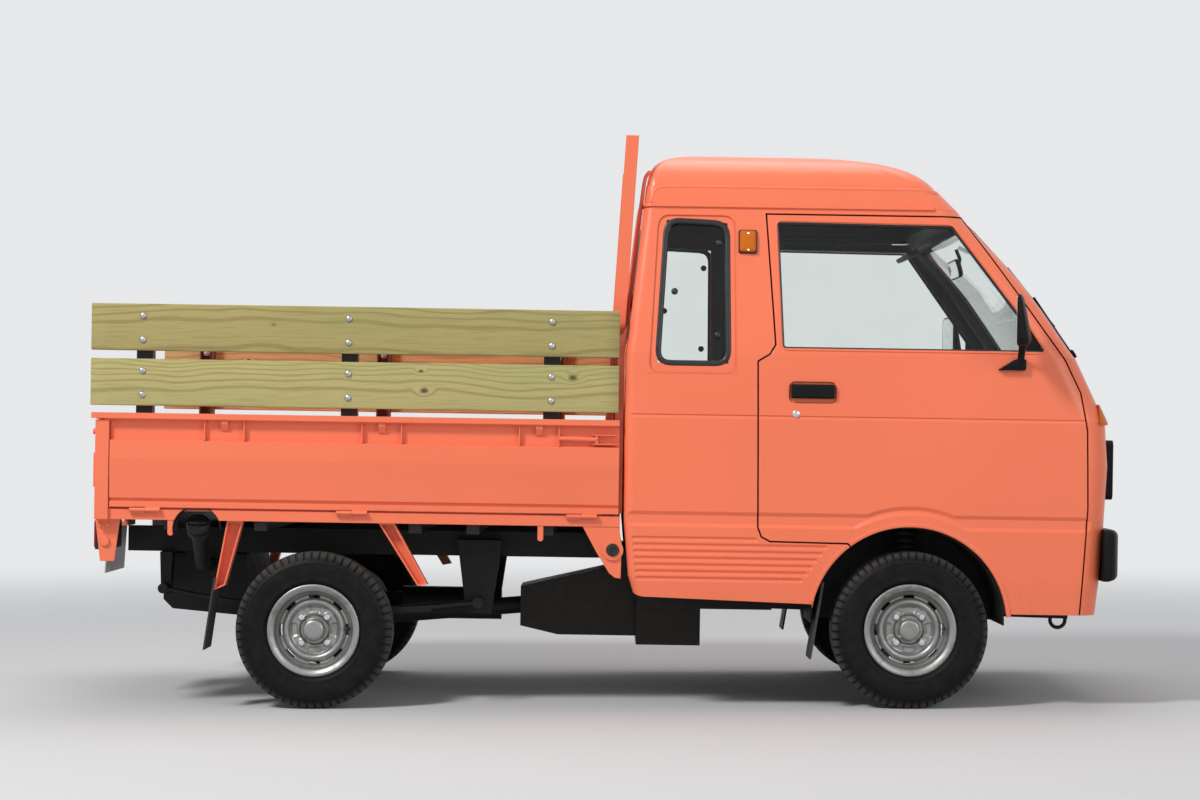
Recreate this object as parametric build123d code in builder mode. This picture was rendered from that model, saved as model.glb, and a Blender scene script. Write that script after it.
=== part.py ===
"""Kei truck with drop-side bed and wooden side boards, in millimetres.

x runs forward from the front axle, y to the truck's left, z up from the ground.
The body is drawn level. At the end it is tipped by its rake about the front axle,
and the whole truck is moved so that the middle of its length is the origin.
"""

from build123d import *
import os
from math import cos, radians, sin

os.makedirs("parts", exist_ok=True)

# Stance
wheelbase = 1850
track = 1200
tyre_radius = 244
tyre_width = 145
rake = 0.9
rear_x = -wheelbase

# Cab shell
cab_half_width = 697.5
belt_height = 1092
wall = 45
panel_gap = 5
sheet = 4

# Load bed
bed_front = -905
bed_rear = rear_x - 636
gate_rear = rear_x - 690
gate_bottom = 590
gate_top = 881
gate_inner = 655
gate_outer = 697.5
bed_floor_top = 588
bed_floor_thickness = 12
bed_rail_bottom = 551
bed_rail_outer = 680
bed_rail_top = 584
hinge_height = 582
hinge_reach = 691
hinge_radius = 6
hinge_play = 0.15

# Boards and their stakes
board_height = 146
board_thickness = 38
board_bottom = 903
board_spacing = 170
board_rear = rear_x - 695
board_front = -914
stake_width = 50
stake_depth = 50
stake_wall = 5
stake_bottom = 600
stake_top = board_bottom + board_spacing + board_height - 20
stake_places = [rear_x - 535, rear_x + 100, bed_front - 218]

# Frame and running gear
rail_y = 340
rail_width = 50
rail_height = 80
rail_top = 520
rail_low_top = 372
kingpin_low = (0, 520, 165)
kingpin_high = (0, 452, 600)
arch_centre = (-8, 262)
arch_radius = 303
liner_radius = 302
well_inner = 372
well_outer = 636

sides = {"right": -1, "left": 1}


def body_point(x, z):
    """Place of a point of the standing truck in the level body."""
    tip = radians(rake)
    rise = z - tyre_radius
    return x * cos(tip) - rise * sin(tip), x * sin(tip) + rise * cos(tip) + tyre_radius


rear_axle_body = body_point(-wheelbase, tyre_radius)

# height, rear x, front x at the middle, half width, corner radius, bow of the front
cab_rows = [
    (300, -845, 592, 684, 80, 14),
    (400, -877, 604, 692, 80, 16),
    (570, -893, 618, 697.5, 85, 18),
    (760, -895, 628, 697.5, 85, 18),
    (898, -895, 618, 697.5, 85, 18),
    (1092, -894, 530, 690, 85, 22),
]
glasshouse_rows = [
    (1092, -894, 530, 690, 85, 22),
    (1210, -880, 452, 672, 85, 26),
    (1342, -866, 356, 650, 85, 28),
    (1472, -852, 238, 626, 85, 28),
    (1553, -843, 170, 612, 85, 28),
]
roof_side_rows = [
    (1553, -843, 170, 612, 85, 28),
    (1616, -838, 108, 600, 85, 28),
]
roof_rows = [
    (1616, -836, 104, 596, 85, 28),
    (1668, -822, 44, 570, 85, 28),
    (1710, -776, -76, 504, 90, 28),
    (1730, -700, -240, 400, 90, 20),
    (1738, -620, -380, 260, 90, 12),
]
gutter_rows = [
    (1550, -848, 178, 619, 88, 28),
    (1559, -847, 170, 618, 88, 28),
]


def cab_block(rows_of_lofts, inset):
    """Solid cab from level sections, every wall moved in by the inset."""
    with BuildPart() as block:
        for rows, ruled in rows_of_lofts:
            for height, rear, front, half, radius, bow in rows:
                back = rear + inset
                side = half - inset
                corner = max(radius - inset, 12)
                tail = 30
                face = front - inset
                shoulder = face - bow
                with BuildSketch(Plane.XY.offset(height)):
                    with BuildLine():
                        Line((back, side - tail), (back, -side + tail))
                        CenterArc((back + tail, -side + tail), tail, 180, 90)
                        Line((back + tail, -side), (shoulder - corner, -side))
                        CenterArc((shoulder - corner, -side + corner), corner, 270, 90)
                        ThreePointArc(
                            (shoulder, -side + corner), (face, 0), (shoulder, side - corner)
                        )
                        CenterArc((shoulder - corner, side - corner), corner, 0, 90)
                        Line((shoulder - corner, side), (back + tail, side))
                        CenterArc((back + tail, side - tail), tail, 90, 90)
                    make_face()
            loft(ruled=ruled)
    return block.part


def side_prism(points, inner, outer, growth=0):
    """Right-hand prism across the wall over an outline of (x, z) points."""
    with BuildPart() as prism:
        with BuildSketch(Plane.XZ.offset(inner)):
            with BuildLine():
                Polyline(*points, close=True)
            make_face()
            if growth:
                offset(amount=growth, kind=Kind.INTERSECTION)
        extrude(amount=outer - inner)
    return prism.part


def profile_along_x(points, start, end):
    """Solid of a (y, z) outline that runs from one x to another."""
    with BuildPart() as bar:
        with BuildSketch(Plane.YZ.offset(start)):
            with BuildLine():
                Polyline(*points, close=True)
            make_face()
        extrude(amount=end - start)
    return bar.part


def profile_across(points, start, end):
    """Solid of an (x, z) outline that runs from one y up to another."""
    with BuildPart() as bar:
        with BuildSketch(Plane.XZ.offset(-start)):
            with BuildLine():
                Polyline(*points, close=True)
            make_face()
        extrude(amount=start - end)
    return bar.part


def box_between(low, high):
    """Square block between two corners."""
    size = [high[axis] - low[axis] for axis in range(3)]
    with BuildPart() as block:
        with Locations(low):
            Box(*size, align=(Align.MIN, Align.MIN, Align.MIN))
    return block.part


def rod_between(start, end, radius):
    """Round rod between two points."""
    path = Vector(*end) - Vector(*start)
    with BuildPart() as rod:
        with BuildSketch(Plane(origin=start, z_dir=path)):
            Circle(radius)
        extrude(amount=path.length)
    return rod.part


def on_left(part):
    """The same piece on the truck's left."""
    return mirror(part, about=Plane.XZ)


def on_side(part, side):
    """A right-hand piece as it is, or mirrored for the left."""
    return part if side == "right" else on_left(part)


# Cab shell and its panels
door_outline = [
    (-463, 1531),
    (-432, 1122),
    (-450, 1092),
    (-486, 1070),
    (-479, 556),
    (-468, 528),
    (-441, 514),
    (-201, 511),
    (-170, 480),
    (285, 285),
    (518, 285),
    (528, 451),
    (538, 630),
    (533, 870),
    (512, 987),
    (463, 1088),
    (150, 1531),
]
door_window_outline = [(-429, 1507), (-410, 1112), (400, 1112), (352, 1186), (116, 1502)]
door_pane_outline = [(-429, 1507), (-410, 1112), (342, 1112), (342, 1199), (116, 1502)]
sail_outline = [(344, 1112.3), (399.2, 1112.3), (351.6, 1185.6), (344, 1195.8)]
quarter_glass_outline = [(-773, 1508), (-797, 1061), (-577, 1061), (-584, 1500)]

cab_lofts = [(cab_rows, True), (glasshouse_rows, False)]
cab_outer = cab_block(cab_lofts, 0)
cab_inner = cab_block(cab_lofts, wall)
cab_glass_outer = cab_block(cab_lofts, 14)
cab_glass_inner = cab_block(cab_lofts, 14 + sheet)

# Pressed relief of the cab's sides: crease, channel with its rise over the arch, sill ribs
channel_low = 566
channel_high = 592
channel_depth = 7
channel_slope = 58
flare_radius = arch_radius + 47
flare_gap = 6
rib_radius = 9
rib_sink = 5
rib_pitch = 20.7
rib_top = 518
ribs = 7


def row_at(rows, height):
    """Row of a cab table at a height between two of its rows."""
    for low, high in zip(rows, rows[1:]):
        if low[0] <= height <= high[0]:
            share = (height - low[0]) / (high[0] - low[0])
            return [start + share * (end - start) for start, end in zip(low, high)]


with BuildPart() as channel:
    with BuildSketch(Plane.XZ.offset(cab_half_width - channel_depth)):
        with Locations(arch_centre):
            Circle(flare_radius + flare_gap)
            Rectangle(900, 900, align=(Align.CENTER, Align.MAX), mode=Mode.SUBTRACT)
        with Locations((-150, channel_low)):
            Rectangle(1700, channel_high - channel_low, align=(Align.CENTER, Align.MIN))
            Rectangle(1700, 500, align=(Align.CENTER, Align.MAX), mode=Mode.SUBTRACT)
        with Locations(arch_centre):
            Circle(flare_radius, mode=Mode.SUBTRACT)
    extrude(amount=channel_depth + 2, taper=-channel_slope)

with BuildPart() as sill_ribs:
    for row in range(ribs):
        height = rib_top - row * rib_pitch
        start = -862 + row * 2.2
        end = -487 if row == 0 else -256 - row * 15
        side = -row_at(cab_rows, height)[3] - rib_sink
        add(rod_between((start, side, height), (end, side, height), rib_radius))
        with Locations((start, side, height), (end, side, height)):
            Sphere(rib_radius)

crease_section = [(-699.5, 904), (-694.5, 901.5), (-699.5, 884)]
recess_depth = 4
quarter_recess = [(-800, 1525), (-824, 1030), (-552, 1030), (-560, 1525)]
handle_pocket_depth = 11
with BuildPart() as handle_pocket:
    with BuildSketch(Plane.XZ.offset(cab_half_width - handle_pocket_depth)):
        with Locations((-316, 976)):
            RectangleRounded(138, 60, 14)
    extrude(amount=handle_pocket_depth + 3, taper=-28)

sill_cut = [
    (-1000, 200),
    (-1000, 352),
    (-868, 352),
    (-850, 342),
    (-832, 338),
    (-308, 322),
    (-300, 200),
]
with BuildPart() as cab_pressed:
    add(cab_outer)
    for mirrored in (False, True):
        for cutter in (channel.part, sill_ribs.part, handle_pocket.part):
            add(on_left(cutter) if mirrored else cutter, mode=Mode.SUBTRACT)
        crease = profile_along_x(crease_section, -960, 700)
        add(on_left(crease) if mirrored else crease, mode=Mode.SUBTRACT)
    add(profile_across(sill_cut, -800, 800), mode=Mode.SUBTRACT)

with BuildPart() as quarter_dish:
    add(cab_outer)
    add(cab_block(cab_lofts, recess_depth), mode=Mode.SUBTRACT)
    add(side_prism(quarter_recess, 500, 760), mode=Mode.INTERSECT)

with BuildPart() as arch_cut:
    with BuildSketch(Plane.XZ):
        with Locations(arch_centre):
            Circle(arch_radius)
    extrude(amount=cab_half_width + 60, both=True)

door_opening = side_prism(door_outline, 500, 760, panel_gap / 2)
door_zone = side_prism(door_outline, 500, 760, -panel_gap / 2)
quarter_opening = side_prism(quarter_glass_outline, 500, 760)
door_window = side_prism(door_window_outline, 500, 760)


def screen_block(growth):
    """Block through the windscreen opening, grown on every side."""
    with BuildPart() as block:
        with BuildSketch(Plane.YZ.offset(120)):
            with BuildLine():
                Polyline((-605, 1128), (605, 1128), (532, 1512), (-532, 1512), close=True)
            make_face()
            fillet(vertices(), 45)
            if growth:
                offset(amount=growth)
        extrude(amount=520)
    return block.part


def rear_window_block(growth):
    """Block through the rear window opening, grown on every side."""
    with BuildPart() as block:
        with BuildSketch(Plane.YZ.offset(-700)):
            with Locations((0, 1315)):
                RectangleRounded(980 + 2 * growth, 330 + 2 * growth, 40 + growth)
        extrude(amount=-250)
    return block.part


with BuildPart() as cab_shell:
    add(cab_pressed.part)
    add(quarter_dish.part, mode=Mode.SUBTRACT)
    add(on_left(quarter_dish.part), mode=Mode.SUBTRACT)
    add(cab_inner, mode=Mode.SUBTRACT)
    add(arch_cut.part, mode=Mode.SUBTRACT)

with BuildPart() as cab_panels:
    add(cab_shell.part)
    add(door_opening, mode=Mode.SUBTRACT)
    add(on_left(door_opening), mode=Mode.SUBTRACT)
    add(quarter_opening, mode=Mode.SUBTRACT)
    add(on_left(quarter_opening), mode=Mode.SUBTRACT)
    add(screen_block(0), mode=Mode.SUBTRACT)
    add(rear_window_block(0), mode=Mode.SUBTRACT)

quarter_split = 555
panel_front = -100
reach = 1000
quarter_box = box_between((-reach, -reach, 0), (panel_front, -quarter_split, 1700))
back_bottom = 600
back_box = box_between((-reach, -quarter_split, back_bottom), (panel_front, quarter_split, 1700))
nose_box = box_between((200, -reach, 0), (reach, reach, belt_height))
frame_box = box_between((panel_front, -reach, belt_height), (reach, reach, 1700))

with BuildPart() as quarter_panel:
    add(cab_panels.part)
    add(quarter_box, mode=Mode.INTERSECT)

with BuildPart() as back_panel:
    add(cab_panels.part)
    add(back_box, mode=Mode.INTERSECT)

with BuildPart() as nose_panel:
    add(cab_panels.part)
    add(nose_box, mode=Mode.INTERSECT)

with BuildPart() as windscreen_frame:
    add(cab_panels.part)
    add(frame_box, mode=Mode.INTERSECT)

roof_wall = 22
with BuildPart() as gutter:
    add(cab_block([(gutter_rows, True)], 0))
    add(cab_outer, mode=Mode.SUBTRACT)
    add(box_between((-1000, -500, 1500), (500, 500, 1600)), mode=Mode.SUBTRACT)
    add(box_between((60, -1000, 1500), (500, 1000, 1600)), mode=Mode.SUBTRACT)

with BuildPart() as roof:
    add(cab_block([(roof_side_rows, True), (roof_rows, False)], 0))
    add(gutter.part)
    add(cab_block([(roof_side_rows, True), (roof_rows[:-1], False)], roof_wall), mode=Mode.SUBTRACT)

with BuildPart() as glass_skin:
    add(cab_glass_outer)
    add(cab_glass_inner, mode=Mode.SUBTRACT)

glass_fit = 0.3
with BuildPart() as screen_pane:
    add(glass_skin.part)
    add(screen_block(-glass_fit), mode=Mode.INTERSECT)
    add(door_opening, mode=Mode.SUBTRACT)
    add(on_left(door_opening), mode=Mode.SUBTRACT)

with BuildPart() as rear_pane:
    add(glass_skin.part)
    add(rear_window_block(-glass_fit), mode=Mode.INTERSECT)

with BuildPart() as quarter_pane:
    add(glass_skin.part)
    add(side_prism(quarter_glass_outline, 500, 760, -glass_fit), mode=Mode.INTERSECT)

with BuildPart() as door_pane:
    add(glass_skin.part)
    add(side_prism(door_pane_outline, 500, 760, -glass_fit), mode=Mode.INTERSECT)

cab_glass = Compound(
    children=[
        screen_pane.part.solid(),
        rear_pane.part.solid(),
        quarter_pane.part.solid(),
        on_left(quarter_pane.part).solid(),
    ]
)

with BuildPart() as door_panel:
    add(cab_shell.part)
    add(door_zone, mode=Mode.INTERSECT)
    add(door_window, mode=Mode.SUBTRACT)

# Cab floor, wheel wells, seats and dashboard
floor_thickness = 20
platform_top = 640
footwell_top = 400
footwell_back = 320
floor_half_width = 634
floor_outline = [
    (-880, platform_top),
    (footwell_back, platform_top),
    (footwell_back, footwell_top),
    (600, footwell_top),
    (600, footwell_top - floor_thickness),
    (footwell_back - floor_thickness, footwell_top - floor_thickness),
    (footwell_back - floor_thickness, platform_top - floor_thickness),
    (-880, platform_top - floor_thickness),
]
with BuildPart() as cab_floor:
    add(profile_across(floor_outline, -floor_half_width, floor_half_width))
    add(cab_inner, mode=Mode.INTERSECT)

with BuildPart() as wheel_well:
    with BuildSketch(Plane.XZ.offset(well_inner)):
        with Locations(arch_centre):
            Circle(liner_radius)
            Circle(liner_radius - sheet, mode=Mode.SUBTRACT)
            Rectangle(800, 800, align=(Align.CENTER, Align.MAX), mode=Mode.SUBTRACT)
    extrude(amount=well_outer - well_inner)
    with BuildSketch(Plane.XZ.offset(well_inner)):
        with Locations(arch_centre):
            Circle(liner_radius)
            Rectangle(800, 800, align=(Align.CENTER, Align.MAX), mode=Mode.SUBTRACT)
        with Locations((arch_centre[0], platform_top - floor_thickness)):
            Rectangle(600, 358, align=(Align.CENTER, Align.MAX))
    extrude(amount=sheet)
wheel_wells = Compound(children=[wheel_well.part.solid(), on_left(wheel_well.part).solid()])

seat_y = 325
seat_width = 480
cushion_outline = [(-430, 640.3), (40, 640.3), (60, 700), (40, 765), (-410, 740), (-440, 690)]
back_outline = [(-430, 741), (-350, 743.7), (-430, 1180), (-450, 1215), (-490, 1215), (-520, 1160)]
headrest_outline = [(-505, 1228), (-438, 1228), (-446, 1375), (-462, 1392), (-502, 1388)]
headrest_half = 125
stalk_spread = 45
seat_cushion = profile_across(cushion_outline, -seat_y - seat_width / 2, -seat_y + seat_width / 2)
with BuildPart() as seat_back:
    add(profile_across(back_outline, -seat_y - seat_width / 2, -seat_y + seat_width / 2))
    add(profile_across(headrest_outline, -seat_y - headrest_half, -seat_y + headrest_half))
    for spread in (-stalk_spread, stalk_spread):
        foot = (-474, -seat_y + spread, 1190)
        add(rod_between(foot, (-472, -seat_y + spread, 1240), 7))
seats = Compound(
    children=[
        seat_cushion.solid(),
        seat_back.part.solid(),
        on_left(seat_cushion).solid(),
        on_left(seat_back.part).solid(),
    ]
)

dash_outline = [
    (600, 900),
    (500, 1070),
    (340, 1062),
    (300, 1020),
    (300, 960),
    (380, 860),
    (440, 820),
    (600, 820),
]
with BuildPart() as dashboard:
    add(profile_across(dash_outline, -590, 590))
    add(cab_inner, mode=Mode.INTERSECT)

wheel_centre = Vector(170, -330, 1010)
column_dir = Vector(0.5, 0, -0.866).normalized()
with BuildPart() as steering_wheel:
    wheel_plane = Plane(origin=wheel_centre, x_dir=(0, 1, 0), z_dir=column_dir * -1)
    with BuildSketch(Plane(origin=wheel_centre, x_dir=(0, 1, 0), z_dir=wheel_plane.y_dir)):
        with Locations((185, 0)):
            Circle(12)
    revolve(axis=Axis(wheel_centre, column_dir))
    with BuildSketch(wheel_plane.offset(-8)):
        Rectangle(366, 40)
        Circle(52)
        with Locations((0, -90)):
            Rectangle(40, 180)
    extrude(amount=12)
    with BuildSketch(wheel_plane.offset(-5)):
        Circle(20)
    extrude(amount=-687)

# Doors
mirror_centre = (314, 795, 1205)
with BuildPart() as mirror_piece:
    with BuildSketch(Plane.YZ.offset(mirror_centre[0] - 23)):
        with Locations((-mirror_centre[1], mirror_centre[2])):
            RectangleRounded(120, 162, 24)
    extrude(amount=46)
with BuildPart() as door_trim:
    add(mirror_piece.part)
    add(rod_between((318, -745, 1150), (316, -706, 1068), 9))
    add(side_prism([(252, 1052), (339, 1052), (339, 1086), (270, 1086)], 692.5, 712))
    add(side_prism(sail_outline, 655, 678))
door_trim_piece = Compound(children=list(door_trim.part.solids()))
handle_length = 132
handle_start = -382
with BuildPart() as door_handle:
    with BuildSketch(Plane.YZ.offset(handle_start)):
        with Locations((-(cab_half_width - handle_pocket_depth + 11.2), 979)):
            RectangleRounded(22, 44, 8)
    extrude(amount=handle_length)

# Gates with their boards and stakes
gate_recess = 672
pocket_places = [rear_x - 280, rear_x + 206, bed_front - 253]
pocket_half = 61
hook_half = 11
gate_hook = [(-671, 861), (-691, 861), (-690, 850), (-677, 830), (-671, 830)]
latch_height = 820
latch_pivot = bed_front - 75
gate_outline = [
    (-gate_inner, gate_bottom),
    (-gate_inner, gate_top),
    (-gate_outer, gate_top),
    (-gate_outer, gate_top - 18),
    (-gate_recess, gate_top - 24),
    (-gate_recess, 800),
    (-692, 795),
    (-694, 740),
    (-690, 681),
    (-687, 618),
    (-679, 615),
    (-679, 609),
    (-686, 605),
    (-686, gate_bottom),
]
hinge_places = [rear_x - 522, rear_x + 117, bed_front - 118]
hinge_half = 47
with BuildPart() as gate:
    add(profile_along_x(gate_outline, bed_rear + 3, bed_front - 5))
    add(box_between((gate_rear, -gate_outer, gate_top - 18), (bed_rear + 3, -gate_inner, gate_top)))
    for place in pocket_places:
        for edge in (-pocket_half, pocket_half):
            low = (place + edge - 2, -688, 797)
            add(box_between(low, (place + edge + 2, -gate_recess + 1, gate_top - 20)))
        hook = profile_along_x(gate_hook, place - hook_half, place + hook_half)
        add(hook)
    for height in (latch_height - 16, latch_height + 12):
        low = (latch_pivot - 14, -692, height)
        add(box_between(low, (bed_front - 14, -gate_recess + 1, height + 4)))
    add(rod_between((latch_pivot, -685, latch_height - 16), (latch_pivot, -685, latch_height + 16), 5))
    add(rod_between((latch_pivot - 118, -685, latch_height + 2), (latch_pivot, -685, latch_height), 7))
    for place in hinge_places:
        knuckle_start = (place + hinge_play, -hinge_reach, hinge_height)
        knuckle_end = (place + hinge_half, -hinge_reach, hinge_height)
        add(rod_between(knuckle_start, knuckle_end, hinge_radius))
        add(box_between(knuckle_start, (knuckle_end[0], -683, gate_bottom)))

with BuildPart() as boards:
    for row in range(2):
        low = board_bottom + row * board_spacing
        corner = (board_rear, -gate_inner - board_thickness, low)
        add(box_between(corner, (board_front, -gate_inner, low + board_height)))

with BuildPart() as stakes:
    for place in stake_places:
        low = (place - stake_width / 2, -gate_inner, stake_bottom)
        high = (place + stake_width / 2, -gate_inner + stake_depth, stake_top)
        add(box_between(low, high))
        low = (low[0] + stake_wall, low[1] + stake_wall, stake_bottom)
        high = (high[0] - stake_wall, high[1] + stake_wall, stake_top)
        add(box_between(low, high), mode=Mode.SUBTRACT)

# Tailgate
tailgate_half = 640
tailgate_face = gate_rear + 2
tailgate_outline = [
    (tailgate_face + 28, gate_bottom),
    (tailgate_face + 28, gate_top),
    (tailgate_face, gate_top),
    (tailgate_face, gate_top - 18),
    (tailgate_face + 14, gate_top - 24),
    (tailgate_face + 14, 800),
    (tailgate_face + 3, 795),
    (tailgate_face + 1, 740),
    (tailgate_face + 5, 681),
    (tailgate_face + 8, gate_bottom),
]
tail_hinge_x = gate_rear + 6
with BuildPart() as tailgate:
    add(profile_across(tailgate_outline, -tailgate_half, tailgate_half))
    for place in (-480, 0, 480):
        knuckle_start = (tail_hinge_x, place + hinge_play, hinge_height)
        add(rod_between(knuckle_start, (tail_hinge_x, place + 47, hinge_height), hinge_radius))
        add(box_between(knuckle_start, (tail_hinge_x + 12, place + 47, gate_bottom)))

# Bed floor with side rails, rear sill, corner posts and cross bearers
filler_x = rear_x - 363
bearer_places = [
    rear_x - 450,
    rear_x - 170,
    rear_x + 310,
    rear_x + 490,
    bed_front - 225,
    bed_front - 20,
]
floor_grooves = 11
groove_pitch = 108
groove_width = 46
groove_depth = 4
rear_bracket = [(-683, 556), (-602, 556), (-606, 540), (-621, 420), (-665, 420), (-680, 540)]
front_bracket = [
    (-1022, 556),
    (-1018, 548),
    (-975, 470),
    (-936, 408),
    (-918, 394),
    (-900, 392),
    (-898, 500),
    (-908, 556),
]
rope_hook_places = [rear_x - 444, bed_front - 245]
rail_inner_side = 640
plate_inner = 646
boss_height = 483
lobe_place = (-926, 480)
with BuildPart() as bed_floor:
    low = (gate_rear + 32, -gate_inner + 5, bed_floor_top - bed_floor_thickness)
    add(box_between(low, (bed_front, gate_inner - 5, bed_floor_top)))
    for sign in (-1, 1):
        rail = sorted((sign * rail_inner_side, sign * bed_rail_outer))
        low = (gate_rear + 20, rail[0], bed_rail_bottom)
        add(box_between(low, (bed_front, rail[1], bed_rail_top)))
        post = sorted((sign * 652, sign * 690))
        low = (gate_rear + 12, post[0], bed_rail_bottom)
        add(box_between(low, (bed_rear, post[1], 858)))
        for place in hinge_places:
            leaf = sorted((sign * 670, sign * hinge_reach))
            low = (place - hinge_half, leaf[0], hinge_height - 10)
            add(box_between(low, (place - hinge_play, leaf[1], hinge_height)))
            end = (place - hinge_play, sign * hinge_reach, hinge_height)
            add(rod_between((place - hinge_half, end[1], hinge_height), end, hinge_radius))
        tab = sorted((sign * 672, sign * 678))
        for place in rope_hook_places:
            add(box_between((place - 9, tab[0], 512), (place + 9, tab[1], 556)))
            add(rod_between((place, tab[0], 512), (place, tab[1], 512), 9))
        bracket = [(rear_x + x, z) for x, z in rear_bracket]
        plate = sorted((sign * plate_inner, sign * (plate_inner + 6)))
        add(profile_across(bracket, plate[0], plate[1]))
        boss = (rear_x - 651, sign * (plate_inner + 2), boss_height)
        add(rod_between(boss, (boss[0], sign * (plate_inner + 14), boss_height), 15))
        for x in (rear_x - 666, rear_x - 642):
            head = (x, sign * (plate_inner + 11), 532)
            add(rod_between((x, sign * (plate_inner + 2), 532), head, 7))
        latch_x = gate_rear + 9
        add(rod_between((latch_x, sign * 672, 650), (latch_x, sign * 672, 756), 5))
        add(rod_between((latch_x + 5, sign * 668, 822), (latch_x - 7, sign * 668, 822), 9))
        add(profile_across(front_bracket, tab[0], tab[1]))
        lobe_start = (lobe_place[0], sign * 673, lobe_place[1])
        add(rod_between(lobe_start, (lobe_place[0], sign * 684, lobe_place[1]), 33))
        bush_start = (lobe_place[0], sign * 670, lobe_place[1])
        bush_end = (lobe_place[0], sign * 690, lobe_place[1])
        add(rod_between(bush_start, bush_end, 19.5), mode=Mode.SUBTRACT)
    for row in range(floor_grooves):
        middle_y = (row - (floor_grooves - 1) / 2) * groove_pitch
        low = (gate_rear + 60, middle_y - groove_width / 2, bed_floor_top - groove_depth)
        high = (bed_front - 60, middle_y + groove_width / 2, bed_floor_top + 1)
        add(box_between(low, high), mode=Mode.SUBTRACT)
    for sign in (-1, 1):
        notch_start = (filler_x, sign * 636, 522)
        add(rod_between(notch_start, (filler_x, sign * 700, 522), 75), mode=Mode.SUBTRACT)
    low = (gate_rear + 20, -650, bed_rail_bottom)
    add(box_between(low, (gate_rear + 60, 650, bed_rail_top)))
    for place in (-480, 0, 480):
        low = (tail_hinge_x, place - 47, hinge_height - 10)
        add(box_between(low, (gate_rear + 25, place - hinge_play, hinge_height)))
        end = (tail_hinge_x, place - hinge_play, hinge_height)
        add(rod_between((tail_hinge_x, place - 47, hinge_height), end, hinge_radius))
    for place in bearer_places:
        low = (place - 20, -645, rail_top)
        add(box_between(low, (place + 20, 645, bed_floor_top - bed_floor_thickness)))

# Headboard and tall guard frame
post_y = 600
post_outline = [(-970, bed_floor_top), (-930, bed_floor_top), (-863, 1769), (-903, 1769)]
with BuildPart() as headboard:
    for sign in (-1, 1):
        pair = sorted((sign * (post_y - 22), sign * (post_y + 22)))
        add(profile_across(post_outline, pair[0], pair[1]))
    lean = 67 / (1769 - bed_floor_top)
    for height in (1725, 1240, 900):
        shift = (height - bed_floor_top) * lean
        beam = [
            (-968 + shift, height),
            (-932 + shift, height),
            (-932 + shift + 44 * lean, height + 44),
            (-968 + shift + 44 * lean, height + 44),
        ]
        add(profile_across(beam, -post_y, post_y))
    panel_reach = 312 * lean
    panel = [
        (-952, bed_floor_top),
        (-948, bed_floor_top),
        (-948 + panel_reach, 900),
        (-952 + panel_reach, 900),
    ]
    add(profile_across(panel, -648, 648))

# Rear lamps with plate carrier
with BuildPart() as rear_lamps:
    for sign in (-1, 1):
        pair = sorted((sign * 400, sign * 632))
        add(box_between((gate_rear + 5, pair[0], 455), (gate_rear + 45, pair[1], bed_rail_bottom)))
with BuildPart() as plate_carrier:
    plate = [(-8, 528), (-4, 528), (-13, 366), (-17, 366)]
    add(profile_across([(gate_rear + x, z) for x, z in plate], -360, -30))
    add(box_between((gate_rear - 8, -260, 516), (gate_rear + 40, -130, 528)))
    add(box_between((gate_rear + 28, -260, 528), (gate_rear + 40, -130, bed_rail_bottom)))

# Mud flaps and mudguard stays
stay_inner = 625
stay_outer = 665
stay_outlines = [
    [(-271, 551), (-221, 551), (-274, 351), (-309, 335)],
    [(198, 551), (247, 551), (353, 364), (322, 358)],
]
with BuildPart() as stay:
    for outline in stay_outlines:
        points = [(rear_x + x, z) for x, z in outline]
        add(side_prism(points, stay_inner, stay_outer))
        add(side_prism(points, stay_inner + 6, stay_outer + 5, -5), mode=Mode.SUBTRACT)
mudguard_stays = Compound(
    children=list(stay.part.solids()) + list(on_left(stay.part).solids())
)
flap_seat = liner_radius - sheet - 0.2
flap_angle = radians(154.6)
flap_top = (
    arch_centre[0] + flap_seat * cos(flap_angle),
    arch_centre[1] + flap_seat * sin(flap_angle),
)
with BuildPart() as flap:
    add(profile_across([flap_top, (-270, 389), (-307, 152), (-313, 152)], -676, -530))
    flap_line = [(-307, 375), (-302, 375), (-309.3, 335), (-334, 151), (-339, 151), (-314, 335)]
    add(profile_across([(rear_x + x, z) for x, z in flap_line], -676, -530))
mud_flaps = Compound(children=list(flap.part.solids()) + list(on_left(flap.part).solids()))

# Front of the cab
bumper_bottom = 406
bumper_top = 566
bumper_front = 655
with BuildPart() as front_bumper:
    with BuildSketch(Plane.XY.offset(bumper_bottom)):
        with BuildLine():
            Polyline((590, -690), (590, -705), (bumper_front - 30, -690))
            Line((bumper_front - 30, -690), (bumper_front - 12, -640))
            ThreePointArc((bumper_front - 12, -640), (bumper_front, 0), (bumper_front - 12, 640))
            Line((bumper_front - 12, 640), (bumper_front - 30, 690))
            Polyline((bumper_front - 30, 690), (590, 705), (590, 600), (590, -690))
        make_face()
    extrude(amount=bumper_top - bumper_bottom)
    with BuildSketch(Plane.XZ.offset(-800)):
        with Locations((560, (bumper_bottom + bumper_top) / 2)):
            RectangleRounded(2 * (bumper_front - 560), bumper_top - bumper_bottom, 24)
    extrude(amount=1600, mode=Mode.INTERSECT)
    add(cab_outer, mode=Mode.SUBTRACT)

with BuildPart() as grille:
    with BuildSketch(Plane.YZ.offset(600)):
        with Locations((0, 750)):
            RectangleRounded(1180, 186, 20)
    extrude(amount=34)
    with BuildSketch(Plane.YZ.offset(612)):
        for sign in (-1, 1):
            with Locations((sign * 450, 750)):
                RectangleRounded(210, 150, 16)
    extrude(amount=40, mode=Mode.SUBTRACT)
    with BuildSketch(Plane.YZ.offset(618)):
        with Locations((0, 750)):
            with GridLocations(0, 30, 1, 5):
                RectangleRounded(600, 17, 6)
    extrude(amount=40, mode=Mode.SUBTRACT)
    add(cab_outer, mode=Mode.SUBTRACT)

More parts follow.
